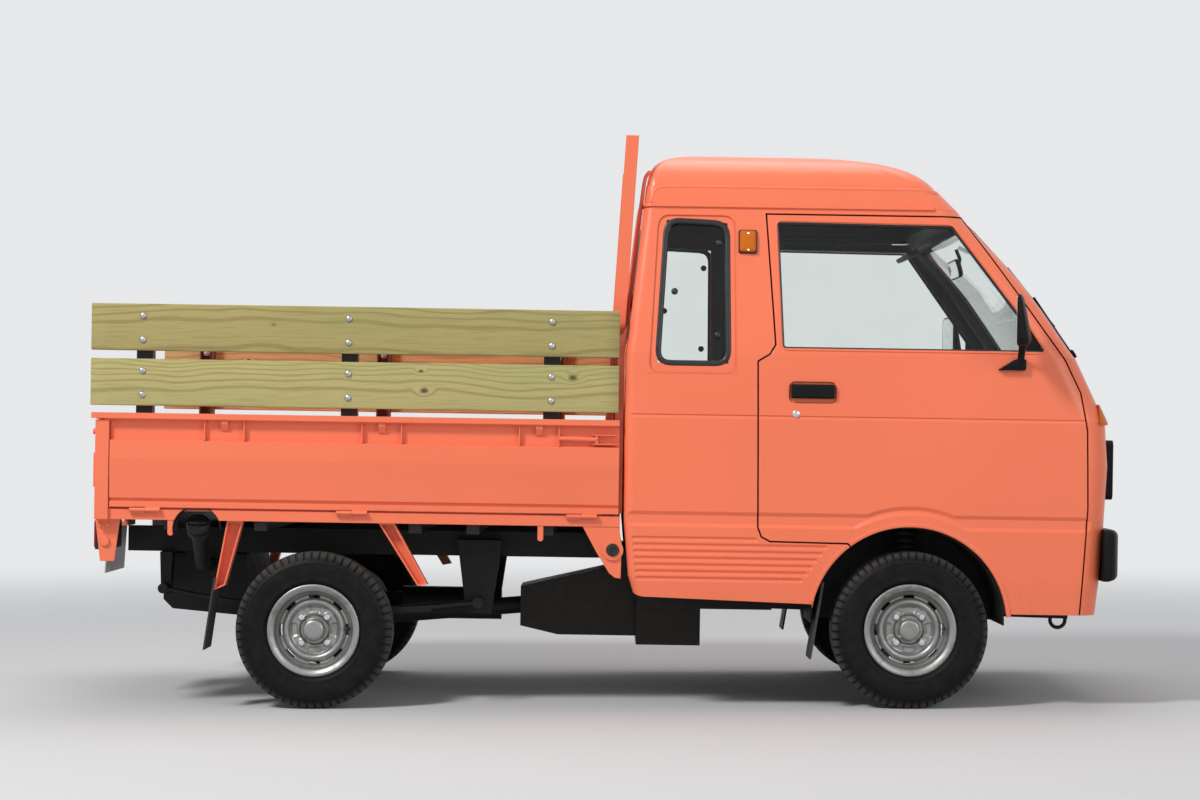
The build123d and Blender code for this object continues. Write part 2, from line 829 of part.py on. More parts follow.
with BuildPart() as headlamps:
    with BuildSketch(Plane.YZ.offset(612)):
        for sign in (-1, 1):
            with Locations((sign * 450, 750)):
                RectangleRounded(206, 146, 14)
    extrude(amount=16)
    add(cab_outer, mode=Mode.SUBTRACT)

lamp_depth = 9
with BuildPart() as corner_lamps:
    for sign in (-1, 1):
        pair = sorted((sign * 540, sign * 720))
        add(box_between((574, pair[0], 890), (640, pair[1], 953)))
    add(cab_block([(cab_rows, True)], -lamp_depth), mode=Mode.INTERSECT)
    add(cab_outer, mode=Mode.SUBTRACT)

# Wipers: pivot on the cowl, arm and blade lying up the windscreen
pivot_height = 1090
blade_foot = 1196
blade_tip = 1384
wiper_table = [
    # pivot y, blade foot y, blade tip y
    (-330, -500, -440),
    (130, -60, 0),
]


def above_screen(y, height, clearance):
    """Point at a clearance in front of the windscreen's face."""
    row = row_at(glasshouse_rows, height)
    return (row[2] - row[5] * (y / (row[3] - row[4])) ** 2 + clearance, y, height)


with BuildPart() as wipers:
    for pivot_y, foot_y, tip_y in wiper_table:
        root = above_screen(pivot_y, pivot_height + 2, -15)
        knob = Vector(*root) + Vector(46, 0, 30)
        add(rod_between(root, knob, 15))
        joint = above_screen((foot_y + tip_y) / 2, (blade_foot + blade_tip) / 2, 22)
        add(rod_between(knob - Vector(8, 0, 5), joint, 5))
        add(rod_between(above_screen(foot_y, blade_foot, 14), above_screen(tip_y, blade_tip, 14), 7))
    add(cab_outer, mode=Mode.SUBTRACT)

# Ladder frame
frame_kick_rear = -960
frame_kick_front = -760
rail_end = rear_x - 630
rail_outline = [
    (rail_end, rail_top),
    (frame_kick_rear, rail_top),
    (frame_kick_front, rail_low_top),
    (540, rail_low_top - 24),
    (540, rail_low_top - 24 - rail_height),
    (frame_kick_front, rail_low_top - rail_height),
    (frame_kick_rear, rail_top - rail_height),
    (rail_end, rail_top - rail_height),
]
with BuildPart() as ladder_frame:
    for sign in (-1, 1):
        pair = sorted((sign * (rail_y - rail_width / 2), sign * (rail_y + rail_width / 2)))
        add(profile_across(rail_outline, pair[0], pair[1]))
    inner = rail_y - rail_width / 2
    for place in (rear_x - 550, rear_x - 150, rear_x + 450, frame_kick_rear - 40):
        add(box_between((place - 20, -inner, rail_top - 70), (place + 20, inner, rail_top - 10)))
    add(box_between((440, -inner, 290), (490, inner, 340)))
    for sign in (-1, 1):
        with Locations(Location((512, sign * rail_y, 262), (90, 0, 0))):
            Torus(24, 6)
        for x, low, high in ((430, 340, footwell_top), (-815, 400, platform_top)):
            top = (x, sign * rail_y, high - floor_thickness)
            add(rod_between((x, sign * rail_y, low), top, 20))

# Engine, gearbox and propeller shaft as one heavy piece
engine_half = 200
diff_radius = 105
axle_x, axle_z = rear_axle_body
with BuildPart() as engine_and_gearbox:
    add(box_between((-842, -engine_half, 270), (-400, engine_half, 585)))
    add(box_between((-842, -140, 145), (-631, 140, 270)))
    add(profile_across([(-1225, 200), (-1225, 330), (-842, 420), (-842, 172), (-1100, 172)], -110, 110))
    add(rod_between((-1225, 0, 262), (axle_x + diff_radius + 0.8, 0, axle_z), 28))
    for sign in (-1, 1):
        mount = sorted((sign * engine_half, sign * (rail_y - rail_width / 2)))
        add(box_between((-640, mount[0], 300), (-580, mount[1], 350)))

with BuildPart() as exhaust:
    add(rod_between((-780, engine_half, 300), (-780, 255, 300), 20))
    add(rod_between((-770, 235, 301), (rear_x + 550, 235, 250), 20))
    add(rod_between((rear_x + 550, 235, 250), (rear_x + 210, 235, 250), 55))

with BuildPart() as fuel_tank:
    tank = [(-525, 430), (-525, 282), (-495, 252), (-260, 232), (-260, 430)]
    add(profile_across([(rear_x + x, z) for x, z in tank], -300, 300))
    for sign in (-1, 1):
        strap = sorted((sign * 296, sign * rail_y))
        strap_low = (filler_x - 87, strap[0], 420)
        add(box_between(strap_low, (filler_x + 33, strap[1], rail_top - rail_height)))
    add(rod_between((filler_x - 12, -298, 395), (filler_x - 9, -484, 408), 20))
    add(rod_between((filler_x - 9, -478, 405), (filler_x, -634, 523), 24))
    add(rod_between((filler_x, -628, 519), (filler_x + 1, -652, 535), 37))

# Front suspension on the body's side
kingpin_foot = Vector(*kingpin_low)
kingpin_line = (Vector(*kingpin_high) - kingpin_foot).normalized()
strut_tube = 250
strut_reach = 393
strut_play = 0.8
spring_radius = 40
coils = 6
coil_pitch = 22
coil_gap = 4
spring_core = 26
rail_inner = rail_y - rail_width / 2

arm_bottom = 131.9
arm_depth = 18


def kingpin_point(length, side):
    """Point on one side's kingpin line, at a length up from its ball joint."""
    point = kingpin_foot + kingpin_line * length
    return (point.X, sides[side] * point.Y, point.Z)


with BuildPart() as front_suspension:
    add(box_between((-45, -rail_inner, 200), (45, rail_inner, 310)))
    for side, sign in sides.items():
        arm = [(-40, sign * 290), (40, sign * 290), (16, sign * 535), (-16, sign * 535)]
        with BuildSketch(Plane.XY.offset(arm_bottom)):
            with BuildLine():
                Polyline(*arm, close=True)
            make_face()
        extrude(amount=arm_depth)
        pivot = sorted((sign * 280, sign * rail_inner))
        add(box_between((-40, pivot[0], arm_bottom), (40, pivot[1], 210)))
        foot = kingpin_point(strut_tube + strut_play, side)
        upwards = (Vector(*kingpin_point(strut_reach, side)) - Vector(*foot)).normalized()
        section = Plane(origin=foot, x_dir=(1, 0, 0), z_dir=Vector(1, 0, 0).cross(upwards))
        reach_up = strut_reach - strut_tube - strut_play
        with BuildSketch(section):
            with BuildLine():
                Line((0, 0), (spring_core, 0))
                for coil in range(coils):
                    low = 4 + coil * coil_pitch
                    high = low + coil_pitch - coil_gap
                    before = (spring_core, low - coil_gap if coil else 0)
                    Line(before, (spring_core, low))
                    crest = (spring_radius, (low + high) / 2)
                    ThreePointArc((spring_core, low), crest, (spring_core, high))
                Polyline((spring_core, high), (spring_core, reach_up - 6), (spring_radius, reach_up - 6))
                Polyline((spring_radius, reach_up - 6), (spring_radius, reach_up), (0, reach_up), (0, 0))
            make_face()
        revolve(axis=Axis(section.origin, upwards))

# Standing pieces: rear axle, knuckles and wheels
axle_tube_radius = 32
hub_end = track / 2 + 7.7
with BuildPart() as rear_axle:
    add(rod_between((-wheelbase, -500, tyre_radius), (-wheelbase, 500, tyre_radius), axle_tube_radius))
    with Locations((-wheelbase, 0, tyre_radius)):
        Sphere(diff_radius)
    for sign in (-1, 1):
        add(rod_between((-wheelbase, sign * 500, tyre_radius), (-wheelbase, sign * 548, tyre_radius), 96))
        stub_end = (-wheelbase, sign * hub_end, tyre_radius)
        add(rod_between((-wheelbase, sign * 548, tyre_radius), stub_end, 38))

spring_y = 440
spring_width = 50
spring_reach = 500
leaf_depth = 8
leaf_reaches = [200, 350, spring_reach]
leaf_rise = 44
leaf_tilt = -15
rear_eye = axle_x - spring_reach
front_eye = axle_x + spring_reach


def leaf_height(distance, layer):
    """Height of a leaf's lower face at a distance from the axle: a shallow, tilted bow."""
    seat = axle_z + axle_tube_radius + 0.3 + layer * leaf_depth
    share = distance / spring_reach
    return seat + leaf_rise * share**2 + leaf_tilt * share


with BuildPart() as leaf_springs:
    for sign in (-1, 1):
        pair = sorted((sign * (spring_y - spring_width / 2), sign * (spring_y + spring_width / 2)))
        for layer, reach_out in enumerate(leaf_reaches):
            ends = [(axle_x + side * reach_out, leaf_height(side * reach_out, layer)) for side in (-1, 1)]
            low_mid = (axle_x, leaf_height(0, layer))
            high_mid = (axle_x, leaf_height(0, layer) + leaf_depth + 1)
            rear_top = (ends[0][0], ends[0][1] + leaf_depth + 1)
            front_top = (ends[1][0], ends[1][1] + leaf_depth + 1)
            with BuildSketch(Plane.XZ.offset(-pair[0])):
                with BuildLine():
                    ThreePointArc(ends[0], low_mid, ends[1])
                    Line(ends[1], front_top)
                    ThreePointArc(front_top, high_mid, rear_top)
                    Line(rear_top, ends[0])
                make_face()
            extrude(amount=pair[0] - pair[1])
        hanger = sorted((sign * (rail_y + rail_width / 2), sign * 410))
        bracket = sorted((sign * (rail_y + rail_width / 2), sign * 470))
        front_z = leaf_height(spring_reach, 2) + leaf_depth / 2
        rear_z = leaf_height(-spring_reach, 2) + leaf_depth / 2
        front_hanger = [(-71, 493), (72, 493), (40, front_z - 38), (-40, front_z - 38)]
        add(profile_across([(front_eye + x, z) for x, z in front_hanger], hanger[0], hanger[1]))
        add(rod_between((front_eye, bracket[0], front_z), (front_eye, bracket[1], front_z), 18))
        rear_hanger = [(-20, 440), (20, 440), (15, rear_z - 18), (-15, rear_z - 18)]
        add(profile_across([(rear_eye + x, z) for x, z in rear_hanger], hanger[0], hanger[1]))
        add(rod_between((rear_eye, bracket[0], rear_z), (rear_eye, bracket[1], rear_z), 16))


def wheel_plane(x, side):
    """Plane through a wheel's axle: first axis outwards, second axis up."""
    sign = sides[side]
    return Plane(
        origin=(x, sign * track / 2, tyre_radius), x_dir=(0, sign, 0), z_dir=(sign, 0, 0)
    )


bead_radius = 127
flange_radius = 143
rim_half = 57
well_radius = 108
hub_face = 8
wheel_slots = 8
slot_radius = 103
slot_depth = 5
slot_length = 34
wheel_nuts = 4
nut_circle = 56
nut_pad = 13
nut_size = 9.5


def tyre(x, side):
    """Tyre as a turned ring: tread, round shoulders, bulged walls and beads."""
    plane = wheel_plane(x, side)
    half = tyre_width / 2
    with BuildPart() as ring:
        with BuildSketch(plane):
            with BuildLine():
                Line((-56.5, bead_radius + 0.3), (56.5, bead_radius + 0.3))
                Line((56.5, bead_radius + 0.3), (56.5, flange_radius + 1))
                Line((56.5, flange_radius + 1), (64, 150))
                ThreePointArc((64, 150), (half, 192), (64, 230))
                Line((64, 230), (52, tyre_radius - 2))
                ThreePointArc((52, tyre_radius - 2), (0, tyre_radius), (-52, tyre_radius - 2))
                Line((-52, tyre_radius - 2), (-64, 230))
                ThreePointArc((-64, 230), (-half, 192), (-64, 150))
                Line((-64, 150), (-56.5, flange_radius + 1))
                Line((-56.5, flange_radius + 1), (-56.5, bead_radius + 0.3))
            make_face()
        revolve(axis=Axis(plane.origin, plane.x_dir))
    return ring.part


def rim(x, side):
    """Pressed steel wheel: rolled rim, slotted disc with a raised ring, four nuts and a cap."""
    plane = wheel_plane(x, side)
    outwards = Vector(*plane.x_dir)
    with BuildPart() as wheel:
        with BuildSketch(plane):
            with BuildLine():
                Polyline(
                    (50, 34),
                    (26, 38),
                    (20, 46),
                    (20, 72),
                    (22, 76),
                    (28, 80),
                    (32, 87),
                    (31, 92),
                    (24, 97),
                    (20, 99),
                    (20, well_radius - 1),
                    (26, well_radius + 1),
                    (34, bead_radius - 7),
                    (rim_half + 4, bead_radius - 6),
                    (rim_half + 4, flange_radius),
                    (rim_half, flange_radius),
                    (rim_half, bead_radius),
                    (30, bead_radius - 1),
                    (20, well_radius + 5),
                    (-26, well_radius + 5),
                    (-34, bead_radius - 1),
                    (-rim_half, bead_radius),
                    (-rim_half, flange_radius),
                    (-rim_half - 4, flange_radius),
                    (-rim_half - 4, bead_radius - 6),
                    (-38, bead_radius - 6),
                    (-30, well_radius),
                    (15, well_radius),
                    (15, 97),
                    (19, 94),
                    (25, 90),
                    (26, 87),
                    (24, 83),
                    (17, 79),
                    (15, 73),
                    (15, 46),
                    (hub_face, 40),
                    (hub_face, 0),
                    (55, 0),
                    (55, 24),
                )
                ThreePointArc((55, 24), (54, 30), (50, 34))
            make_face()
        revolve(axis=Axis(plane.origin, plane.x_dir))
        face = Plane(origin=plane.origin, x_dir=(0, 0, 1), z_dir=outwards)
        with BuildSketch(face):
            with PolarLocations(slot_radius, wheel_slots):
                Rectangle(slot_depth, slot_length)
        extrude(amount=40, mode=Mode.SUBTRACT)
        with BuildSketch(face.offset(17)):
            with PolarLocations(nut_circle, wheel_nuts, start_angle=45):
                Circle(nut_pad)
        extrude(amount=6)
        with BuildSketch(face.offset(21)):
            with PolarLocations(nut_circle, wheel_nuts, start_angle=45):
                RegularPolygon(nut_size, 6)
        extrude(amount=14)
    return wheel.part


def knuckle(side):
    """Front hub carrier: drum, spindle, strut tube and ball joint on the kingpin line."""
    sign = sides[side]
    with BuildPart() as carrier:
        add(rod_between(kingpin_point(-10, side), kingpin_point(strut_tube, side), 22))
        add(rod_between((0, sign * 500, tyre_radius), (0, sign * 548, tyre_radius), 90))
        add(rod_between((0, sign * 548, tyre_radius), (0, sign * hub_end, tyre_radius), 38))
    return carrier.part


tipped = {
    "cab_floor": cab_floor.part,
    "back_panel": back_panel.part,
    "quarter_panel_right": quarter_panel.part,
    "quarter_panel_left": on_left(quarter_panel.part),
    "nose_panel": nose_panel.part,
    "windscreen_frame": windscreen_frame.part,
    "roof": roof.part,
    "cab_glass": cab_glass,
    "wheel_wells": wheel_wells,
    "seats": seats,
    "dashboard": dashboard.part,
    "steering_wheel": steering_wheel.part,
    "front_bumper": front_bumper.part,
    "grille": grille.part,
    "headlamps": headlamps.part,
    "corner_lamps": corner_lamps.part,
    "wipers": wipers.part,
    "ladder_frame": ladder_frame.part,
    "engine_and_gearbox": engine_and_gearbox.part,
    "exhaust": exhaust.part,
    "fuel_tank": fuel_tank.part,
    "front_suspension": front_suspension.part,
    "leaf_springs": leaf_springs.part,
    "bed_floor": bed_floor.part,
    "headboard": headboard.part,
    "rear_lamps": rear_lamps.part,
    "plate_carrier": plate_carrier.part,
    "mudguard_stays": mudguard_stays,
    "mud_flaps": mud_flaps,
    "tailgate": tailgate.part,
}
standing = {"rear_axle": rear_axle.part}
for side in sides:
    tipped["door_" + side] = on_side(door_panel.part, side)
    tipped["door_glass_" + side] = on_side(door_pane.part, side)
    tipped["door_mirror_" + side] = on_side(door_trim_piece, side)
    tipped["door_handle_" + side] = on_side(door_handle.part, side)
    tipped["gate_" + side] = on_side(gate.part, side)
    tipped["boards_" + side] = on_side(boards.part, side)
    tipped["stakes_" + side] = on_side(stakes.part, side)
    standing["knuckle_" + side] = knuckle(side)
    for axle, x in (("front", 0), ("rear", -wheelbase)):
        standing["tyre_" + axle + "_" + side] = tyre(x, side)
        standing["rim_" + axle + "_" + side] = rim(x, side)

tip_axis = Axis((0, 0, tyre_radius), (0, 1, 0))
placed = dict(standing)
for name, piece in tipped.items():
    placed[name] = piece.rotate(tip_axis, rake)

boxes = [piece.bounding_box() for piece in placed.values()]
middle = (min(box.min.X for box in boxes) + max(box.max.X for box in boxes)) / 2
for name, piece in placed.items():
    final = piece.moved(Location((-middle, 0, 0)))
    final.label = name
    export_step(final, "parts/" + name + ".step")
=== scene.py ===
import math

import bmesh
import bpy
import numpy as np
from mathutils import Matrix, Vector


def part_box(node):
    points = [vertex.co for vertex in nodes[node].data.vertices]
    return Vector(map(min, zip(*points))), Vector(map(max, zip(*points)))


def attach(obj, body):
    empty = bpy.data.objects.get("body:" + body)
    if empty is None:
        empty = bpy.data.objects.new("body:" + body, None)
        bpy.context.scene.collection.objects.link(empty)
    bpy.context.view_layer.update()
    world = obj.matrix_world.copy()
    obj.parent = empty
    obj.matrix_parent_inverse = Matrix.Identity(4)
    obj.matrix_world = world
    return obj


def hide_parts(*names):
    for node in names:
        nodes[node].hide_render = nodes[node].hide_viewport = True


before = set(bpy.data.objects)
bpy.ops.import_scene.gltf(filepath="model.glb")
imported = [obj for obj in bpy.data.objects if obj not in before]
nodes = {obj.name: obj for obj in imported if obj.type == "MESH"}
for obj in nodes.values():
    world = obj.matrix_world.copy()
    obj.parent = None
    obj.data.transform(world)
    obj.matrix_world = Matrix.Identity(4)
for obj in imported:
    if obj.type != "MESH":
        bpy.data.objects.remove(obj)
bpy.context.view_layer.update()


# Floor and backdrop
# A plain pale studio floor under the truck. It keeps the truck's shadow, and further out it
# fades into the even pale backdrop that is also what glass and metal reflect.

def lay_mesh(name, points, faces, sharp=40, closed=True):
    """Object at the origin with the given points (n, 3) and faces, each a row of corner numbers.
    Faces of a closed shell are turned outwards. Edges sharper than the given angle stay crisp."""
    mesh = bpy.data.meshes.new(name)
    mesh.from_pydata(np.asarray(points, float).reshape(-1, 3).tolist(), [], faces)
    if closed:
        shell = bmesh.new()
        shell.from_mesh(mesh)
        bmesh.ops.recalc_face_normals(shell, faces=shell.faces)
        shell.to_mesh(mesh)
        shell.free()
    mesh.polygons.foreach_set("use_smooth", np.ones(len(mesh.polygons), bool))
    mesh.set_sharp_from_angle(angle=math.radians(sharp))
    piece = bpy.data.objects.new(name, mesh)
    bpy.context.scene.collection.objects.link(piece)
    return piece


class Shading:
    """Short calls for the nodes of one shader tree."""

    def __init__(self, tree):
        self.tree = tree

    def put(self, socket, value):
        """Links an output to an input socket, or sets the input's value."""
        if isinstance(value, bpy.types.NodeSocket):
            self.tree.links.new(value, socket)
        else:
            socket.default_value = value

    def node(self, kind, settings=(), **values):
        """Node of a kind with its settings. A value or an output goes into the input that is
        named, or numbered as in_0, in_1."""
        node = self.tree.nodes.new("ShaderNode" + kind)
        for key, value in dict(settings).items():
            setattr(node, key, value)
        for key, value in values.items():
            number = int(key[3:]) if key.startswith("in_") else key.replace("_", " ")
            self.put(node.inputs[number], value)
        return node

    def maths(self, operation, first, *others):
        """Output of Math nodes that take the others into the first, one after another."""
        if not others:
            return self.node("Math", {"operation": operation}, in_0=first).outputs[0]
        for other in others:
            first = self.node("Math", {"operation": operation}, in_0=first, in_1=other).outputs[0]
        return first

    def span(self, value, low, high, start=0.0, end=1.0):
        """Smooth rise of an output from start to end as it goes from low to high."""
        smooth = {"interpolation_type": "SMOOTHSTEP"}
        limits = {"From_Min": low, "From_Max": high, "To_Min": start, "To_Max": end}
        return self.node("MapRange", smooth, Value=value, **limits).outputs["Result"]

    def mixed(self, share, first, second):
        """Colour that goes from first to second by share. Each is a colour or an output."""
        ends = [c if isinstance(c, bpy.types.NodeSocket) else (*c, 1) for c in (first, second)]
        mix = self.node("Mix", {"data_type": "RGBA"}, in_0=share, in_6=ends[0], in_7=ends[1])
        return mix.outputs[2]

    def looked_at(self):
        """1 for rays that come from the camera, a glossy surface or glass, else 0."""
        ray = self.node("LightPath").outputs
        kinds = [ray["Is %s Ray" % kind] for kind in ("Camera", "Glossy", "Transmission")]
        return self.maths("MAXIMUM", *kinds)


class Finish(Shading):
    """Material in the making, with its surface and its textures by Object coordinates."""

    def __init__(self, name, **constants):
        self.material = bpy.data.materials.new(name)
        self.material.use_nodes = True
        super().__init__(self.material.node_tree)
        self.surface = self.tree.nodes["Principled BSDF"]
        self.coordinates = self.node("TexCoord").outputs
        self.where = self.coordinates["Object"]
        self.give(**constants)

    def give(self, **values):
        """Sets or links inputs of the surface, by name."""
        for key, value in values.items():
            self.put(self.surface.inputs[key.replace("_", " ")], value)

    def axes(self):
        """Outputs of the x, y and z of the Object coordinates."""
        return tuple(self.node("SeparateXYZ", in_0=self.where).outputs)

    def noise(self, scale, detail, roughness=0.5, stretch=None, shift=(0, 0, 0)):
        """Noise over the Object coordinates, which stretch and shift may change first."""
        vector = self.where
        if stretch:
            mapping = self.node("Mapping", Vector=vector, Scale=stretch, Location=shift)
            vector = mapping.outputs[0]
        values = {"Vector": vector, "Scale": scale, "Detail": detail, "Roughness": roughness}
        return self.node("TexNoise", **values).outputs["Fac"]

    def bands(self, direction, scale, distortion=0.0):
        """Even light and dark bands across a direction."""
        values = {"Vector": self.where, "Scale": scale, "Distortion": distortion}
        return self.node("TexWave", {"bands_direction": direction}, **values).outputs["Fac"]

    def soft_edge(self, radius):
        """Normal that rounds the edges off by a radius in metres."""
        return self.node("Bevel", {"samples": 4}, Radius=radius).outputs[0]

    def relief(self, height, strength, distance=0.001, edge=0):
        """Bump by a height, over edges rounded by a radius where one is given."""
        values = {"Strength": strength, "Distance": distance, "Height": height}
        if edge:
            values["Normal"] = self.soft_edge(edge)
        self.give(Normal=self.node("Bump", **values).outputs["Normal"])


backdrop_colour = (0.80, 0.81, 0.82)
floor_corners = [(-80, -80, 0), (80, -80, 0), (80, 80, 0), (-80, 80, 0)]
floor = lay_mesh("studio_floor", floor_corners, [(0, 1, 2, 3)], closed=False)
matt = Finish(
    "studio_floor_finish", Roughness=0.9, Specular_IOR_Level=0.15, Base_Color=(0.56, 0.56, 0.56, 1)
)
from_truck = matt.node("VectorMath", {"operation": "LENGTH"}, in_0=matt.where).outputs["Value"]
fade = matt.maths("MULTIPLY", matt.span(from_truck, 2.6, 9.0), matt.looked_at())
glow = matt.node("Emission", Color=(*backdrop_colour, 1)).outputs[0]
join = matt.node("MixShader", in_0=fade, in_1=matt.surface.outputs[0], in_2=glow).outputs[0]
matt.put(matt.tree.nodes["Material Output"].inputs["Surface"], join)
floor.data.materials.append(matt.material)

world = bpy.data.worlds.new("studio_world")
bpy.context.scene.world = world
world.use_nodes = True
air = Shading(world.node_tree)
world_light = air.mixed(air.looked_at(), (0.40, 0.41, 0.43), backdrop_colour)
air.put(air.tree.nodes["Background"].inputs["Color"], world_light)

for name, place, aim, size, power in (
    ("key_light", (-5.3, -6.0, 7.7), (0.0, -0.6, 0.6), 2.0, 760),
    ("fill_light", (5.5, -7.0, 3.6), (0.4, 0, 0.7), 4.0, 150),
    ("top_light", (0.5, 1.5, 6.5), (0.0, 0.3, 0.6), 5.0, 150),
):
    lamp = bpy.data.lights.new(name, "AREA")
    lamp.shape = "DISK"
    lamp.size = size
    lamp.energy = power
    lamp_object = bpy.data.objects.new(name, lamp)
    bpy.context.scene.collection.objects.link(lamp_object)
    lamp_object.location = place
    lamp_object.rotation_mode = "QUATERNION"
    lamp_object.rotation_quaternion = (Vector(aim) - Vector(place)).to_track_quat("-Z", "Y")


# Camera
# Square on to the truck's right side from eight metres, at the height of the bed's boards,
# with the horizon a little below the middle of the picture.

picture_width, focal_length, horizon_drop = 1200, 2589, 33
camera_data = bpy.data.cameras.new("side_camera")
camera_data.sensor_width = 36
camera_data.lens = 36 * focal_length / picture_width
camera_data.shift_y = horizon_drop / picture_width
camera_data.clip_end = 200
camera = bpy.data.objects.new("side_camera", camera_data)
bpy.context.scene.collection.objects.link(camera)
camera.location = (-0.0136, -8.68, 0.856)
camera.rotation_euler = (math.radians(90), 0, 0)
bpy.context.scene.camera = camera
bpy.context.scene.view_settings.view_transform = "Standard"


# Painted cab panels
# Roof, pillars, doors, quarters and nose of pressed steel, spot-welded, in a coral-orange
# repaint. Inside, the same panels are lined with dark grained board and headlining.

low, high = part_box("tyre_front_right")
axle_x = (low.x + high.x) / 2
axle_height = 244
tip = math.radians(0.9)
coral = (0.86, 0.185, 0.088)
trim_colour = (0.040, 0.036, 0.040)
cab_middle = (0.50, 0, 1.08)
lining_low, lining_high, lining_wide, lining_narrow = 1.09, 1.57, 0.679, 0.597
sheet_under, rail_inside = 0.577, 0.6455
grille_half_width, grille_middle, grille_half_height, grille_behind = 0.586, 0.740, 0.089, 1.5


def tint(colour, share):
    """Colour lightened or darkened by a share."""
    return [min(1, c * share) for c in colour]


def painted(name, colour, lined=False, behind_grille=False, black_below=False):
    """Coral paint. The colour drifts with a slow noise, and dust gathers low down in specks.
    A fine noise makes the orange peel, and a bevel rounds the pressed edges. A lined panel is
    dark where its face turns to the middle of the cab, deeper than 15 mm from the outside, the
    nose is black behind the grille, and a bed floor is black under its sheet, where its height
    before the tip, z + x sin t, is below 577 mm and it lies inside the rails."""
    paint = Finish(name, Coat_Weight=0.16, Coat_Roughness=0.28, Specular_IOR_Level=0.35)
    x, y, z = paint.axes()
    aside = paint.maths("ABSOLUTE", y)
    shade = paint.mixed(paint.noise(1.7, 3.0), tint(colour, 0.93), tint(colour, 1.06))
    specks = paint.noise(55.0, 7.0, 0.72)
    low_down = paint.span(z, 0.26, 0.66, 0.30, 0.02)
    dust = paint.maths("MULTIPLY", low_down, paint.span(specks, 0.48, 0.80))
    shade = paint.mixed(dust, shade, (0.26, 0.15, 0.09))
    rough = paint.span(specks, 0.2, 0.8, 0.29, 0.41)

    def shaded(share, tone, added):
        return (
            paint.mixed(share, shade, tone),
            paint.maths("ADD", rough, paint.maths("MULTIPLY", share, added)),
        )

    if lined:
        away = paint.node(
            "VectorMath", {"operation": "SUBTRACT"}, in_0=paint.where, in_1=cab_middle
        )
        facing = paint.node(
            "VectorMath", {"operation": "DOT_PRODUCT"},
            in_0=away.outputs[0], in_1=paint.coordinates["Normal"],
        )
        inward = paint.maths("LESS_THAN", facing.outputs["Value"], 0.0)
        wall = paint.span(z, lining_low, lining_high, lining_wide, lining_narrow)
        deep = paint.maths("LESS_THAN", aside, wall)
        shade, rough = shaded(paint.maths("MULTIPLY", inward, deep), trim_colour, 0.35)
    if black_below:
        fore = paint.maths("MULTIPLY", paint.maths("SUBTRACT", x, axle_x), math.sin(tip))
        under = paint.maths("LESS_THAN", paint.maths("ADD", z, fore), sheet_under)
        between = paint.maths("LESS_THAN", aside, rail_inside)
        hidden = paint.maths("MULTIPLY", under, between)
        shade, rough = shaded(hidden, (0.016, 0.013, 0.012), 0.3)
    if behind_grille:
        from_level = paint.maths("ABSOLUTE", paint.maths("SUBTRACT", z, grille_middle))
        near = paint.maths("LESS_THAN", aside, grille_half_width)
        level = paint.maths("LESS_THAN", from_level, grille_half_height)
        ahead = paint.maths("GREATER_THAN", x, grille_behind)
        masked = paint.maths("MULTIPLY", near, level, ahead)
        shade = paint.mixed(masked, shade, (0.008, 0.008, 0.008))
    paint.give(Base_Color=shade, Roughness=rough)
    paint.relief(paint.noise(170.0, 2.0), 0.05, edge=0.0028)
    return paint.material


def dress(names, material):
    """Gives CAD nodes one material."""
    for name in names:
        mesh = nodes[name].data
        mesh.materials.clear()
        mesh.materials.append(material)


cab_paint = painted("cab_paint", coral, lined=True)
dress(["quarter_panel_right", "quarter_panel_left", "back_panel"], cab_paint)
dress(["nose_panel"], painted("nose_paint", coral, lined=True, behind_grille=True))
dress(["windscreen_frame", "roof", "door_right", "door_left"], cab_paint)
bed_coral = tint(coral, 0.98)
bed_paint = painted("bed_paint", bed_coral)
dress(["headboard", "tailgate", "mudguard_stays", "gate_right", "gate_left"], bed_paint)
dress(["bed_floor"], painted("bed_floor_paint", bed_coral, black_below=True))


# Underbody and castings
# Ladder frame, springs and floor in satin underbody black with road dust, and bare cast iron
# and steel of the driveline under an oily film.

def dark_finish(name, colour, roughness, scale, relief, gloss=0.22):
    """Dark surface: colour and roughness drift together by a noise, which also raises the grain,
    and a bevel softens the edges."""
    paint = Finish(name, Specular_IOR_Level=gloss)
    grain = paint.noise(scale, 6.0, 0.65)
    paint.give(
        Base_Color=paint.mixed(grain, tint(colour, 0.65), tint(colour, 1.4)),
        Roughness=paint.span(grain, 0.25, 0.75, roughness - 0.12, roughness + 0.12),
    )
    paint.relief(grain, relief, edge=0.0015)
    return paint.material


underbody_black = dark_finish("underbody_black", (0.016, 0.015, 0.014), 0.6, 45.0, 0.3)
oily_casting = dark_finish("oily_casting", (0.026, 0.023, 0.020), 0.5, 70.0, 0.4)
dress(["cab_floor", "wheel_wells", "ladder_frame", "leaf_springs", "fuel_tank"], underbody_black)
dress(["front_suspension"], underbody_black)
dress(["engine_and_gearbox", "exhaust", "rear_axle", "knuckle_right", "knuckle_left"], oily_casting)


# Moulded plastic fittings
# Grille, handles, wipers, steering wheel and dashboard, moulded or coated in grained black or
# dark grey, and screwed or clipped on.

black_plastic = dark_finish("black_plastic", (0.0075, 0.0075, 0.008), 0.48, 900.0, 0.06, 0.10)
grey_plastic = dark_finish("grey_plastic", (0.060, 0.058, 0.060), 0.55, 700.0, 0.08)
dress(["grille", "steering_wheel", "wipers"], black_plastic)
dress(["door_handle_right", "door_handle_left"], black_plastic)
dress(["dashboard"], grey_plastic)


# Window glass and rubber seals
# Clear safety glass. The windscreen, rear window and hinged quarter windows sit in moulded black
# rubber, the door glass runs in a thin felt channel, and round studs hold the quarter windows.
# A rubber strip closes the gap round each door opening from behind.

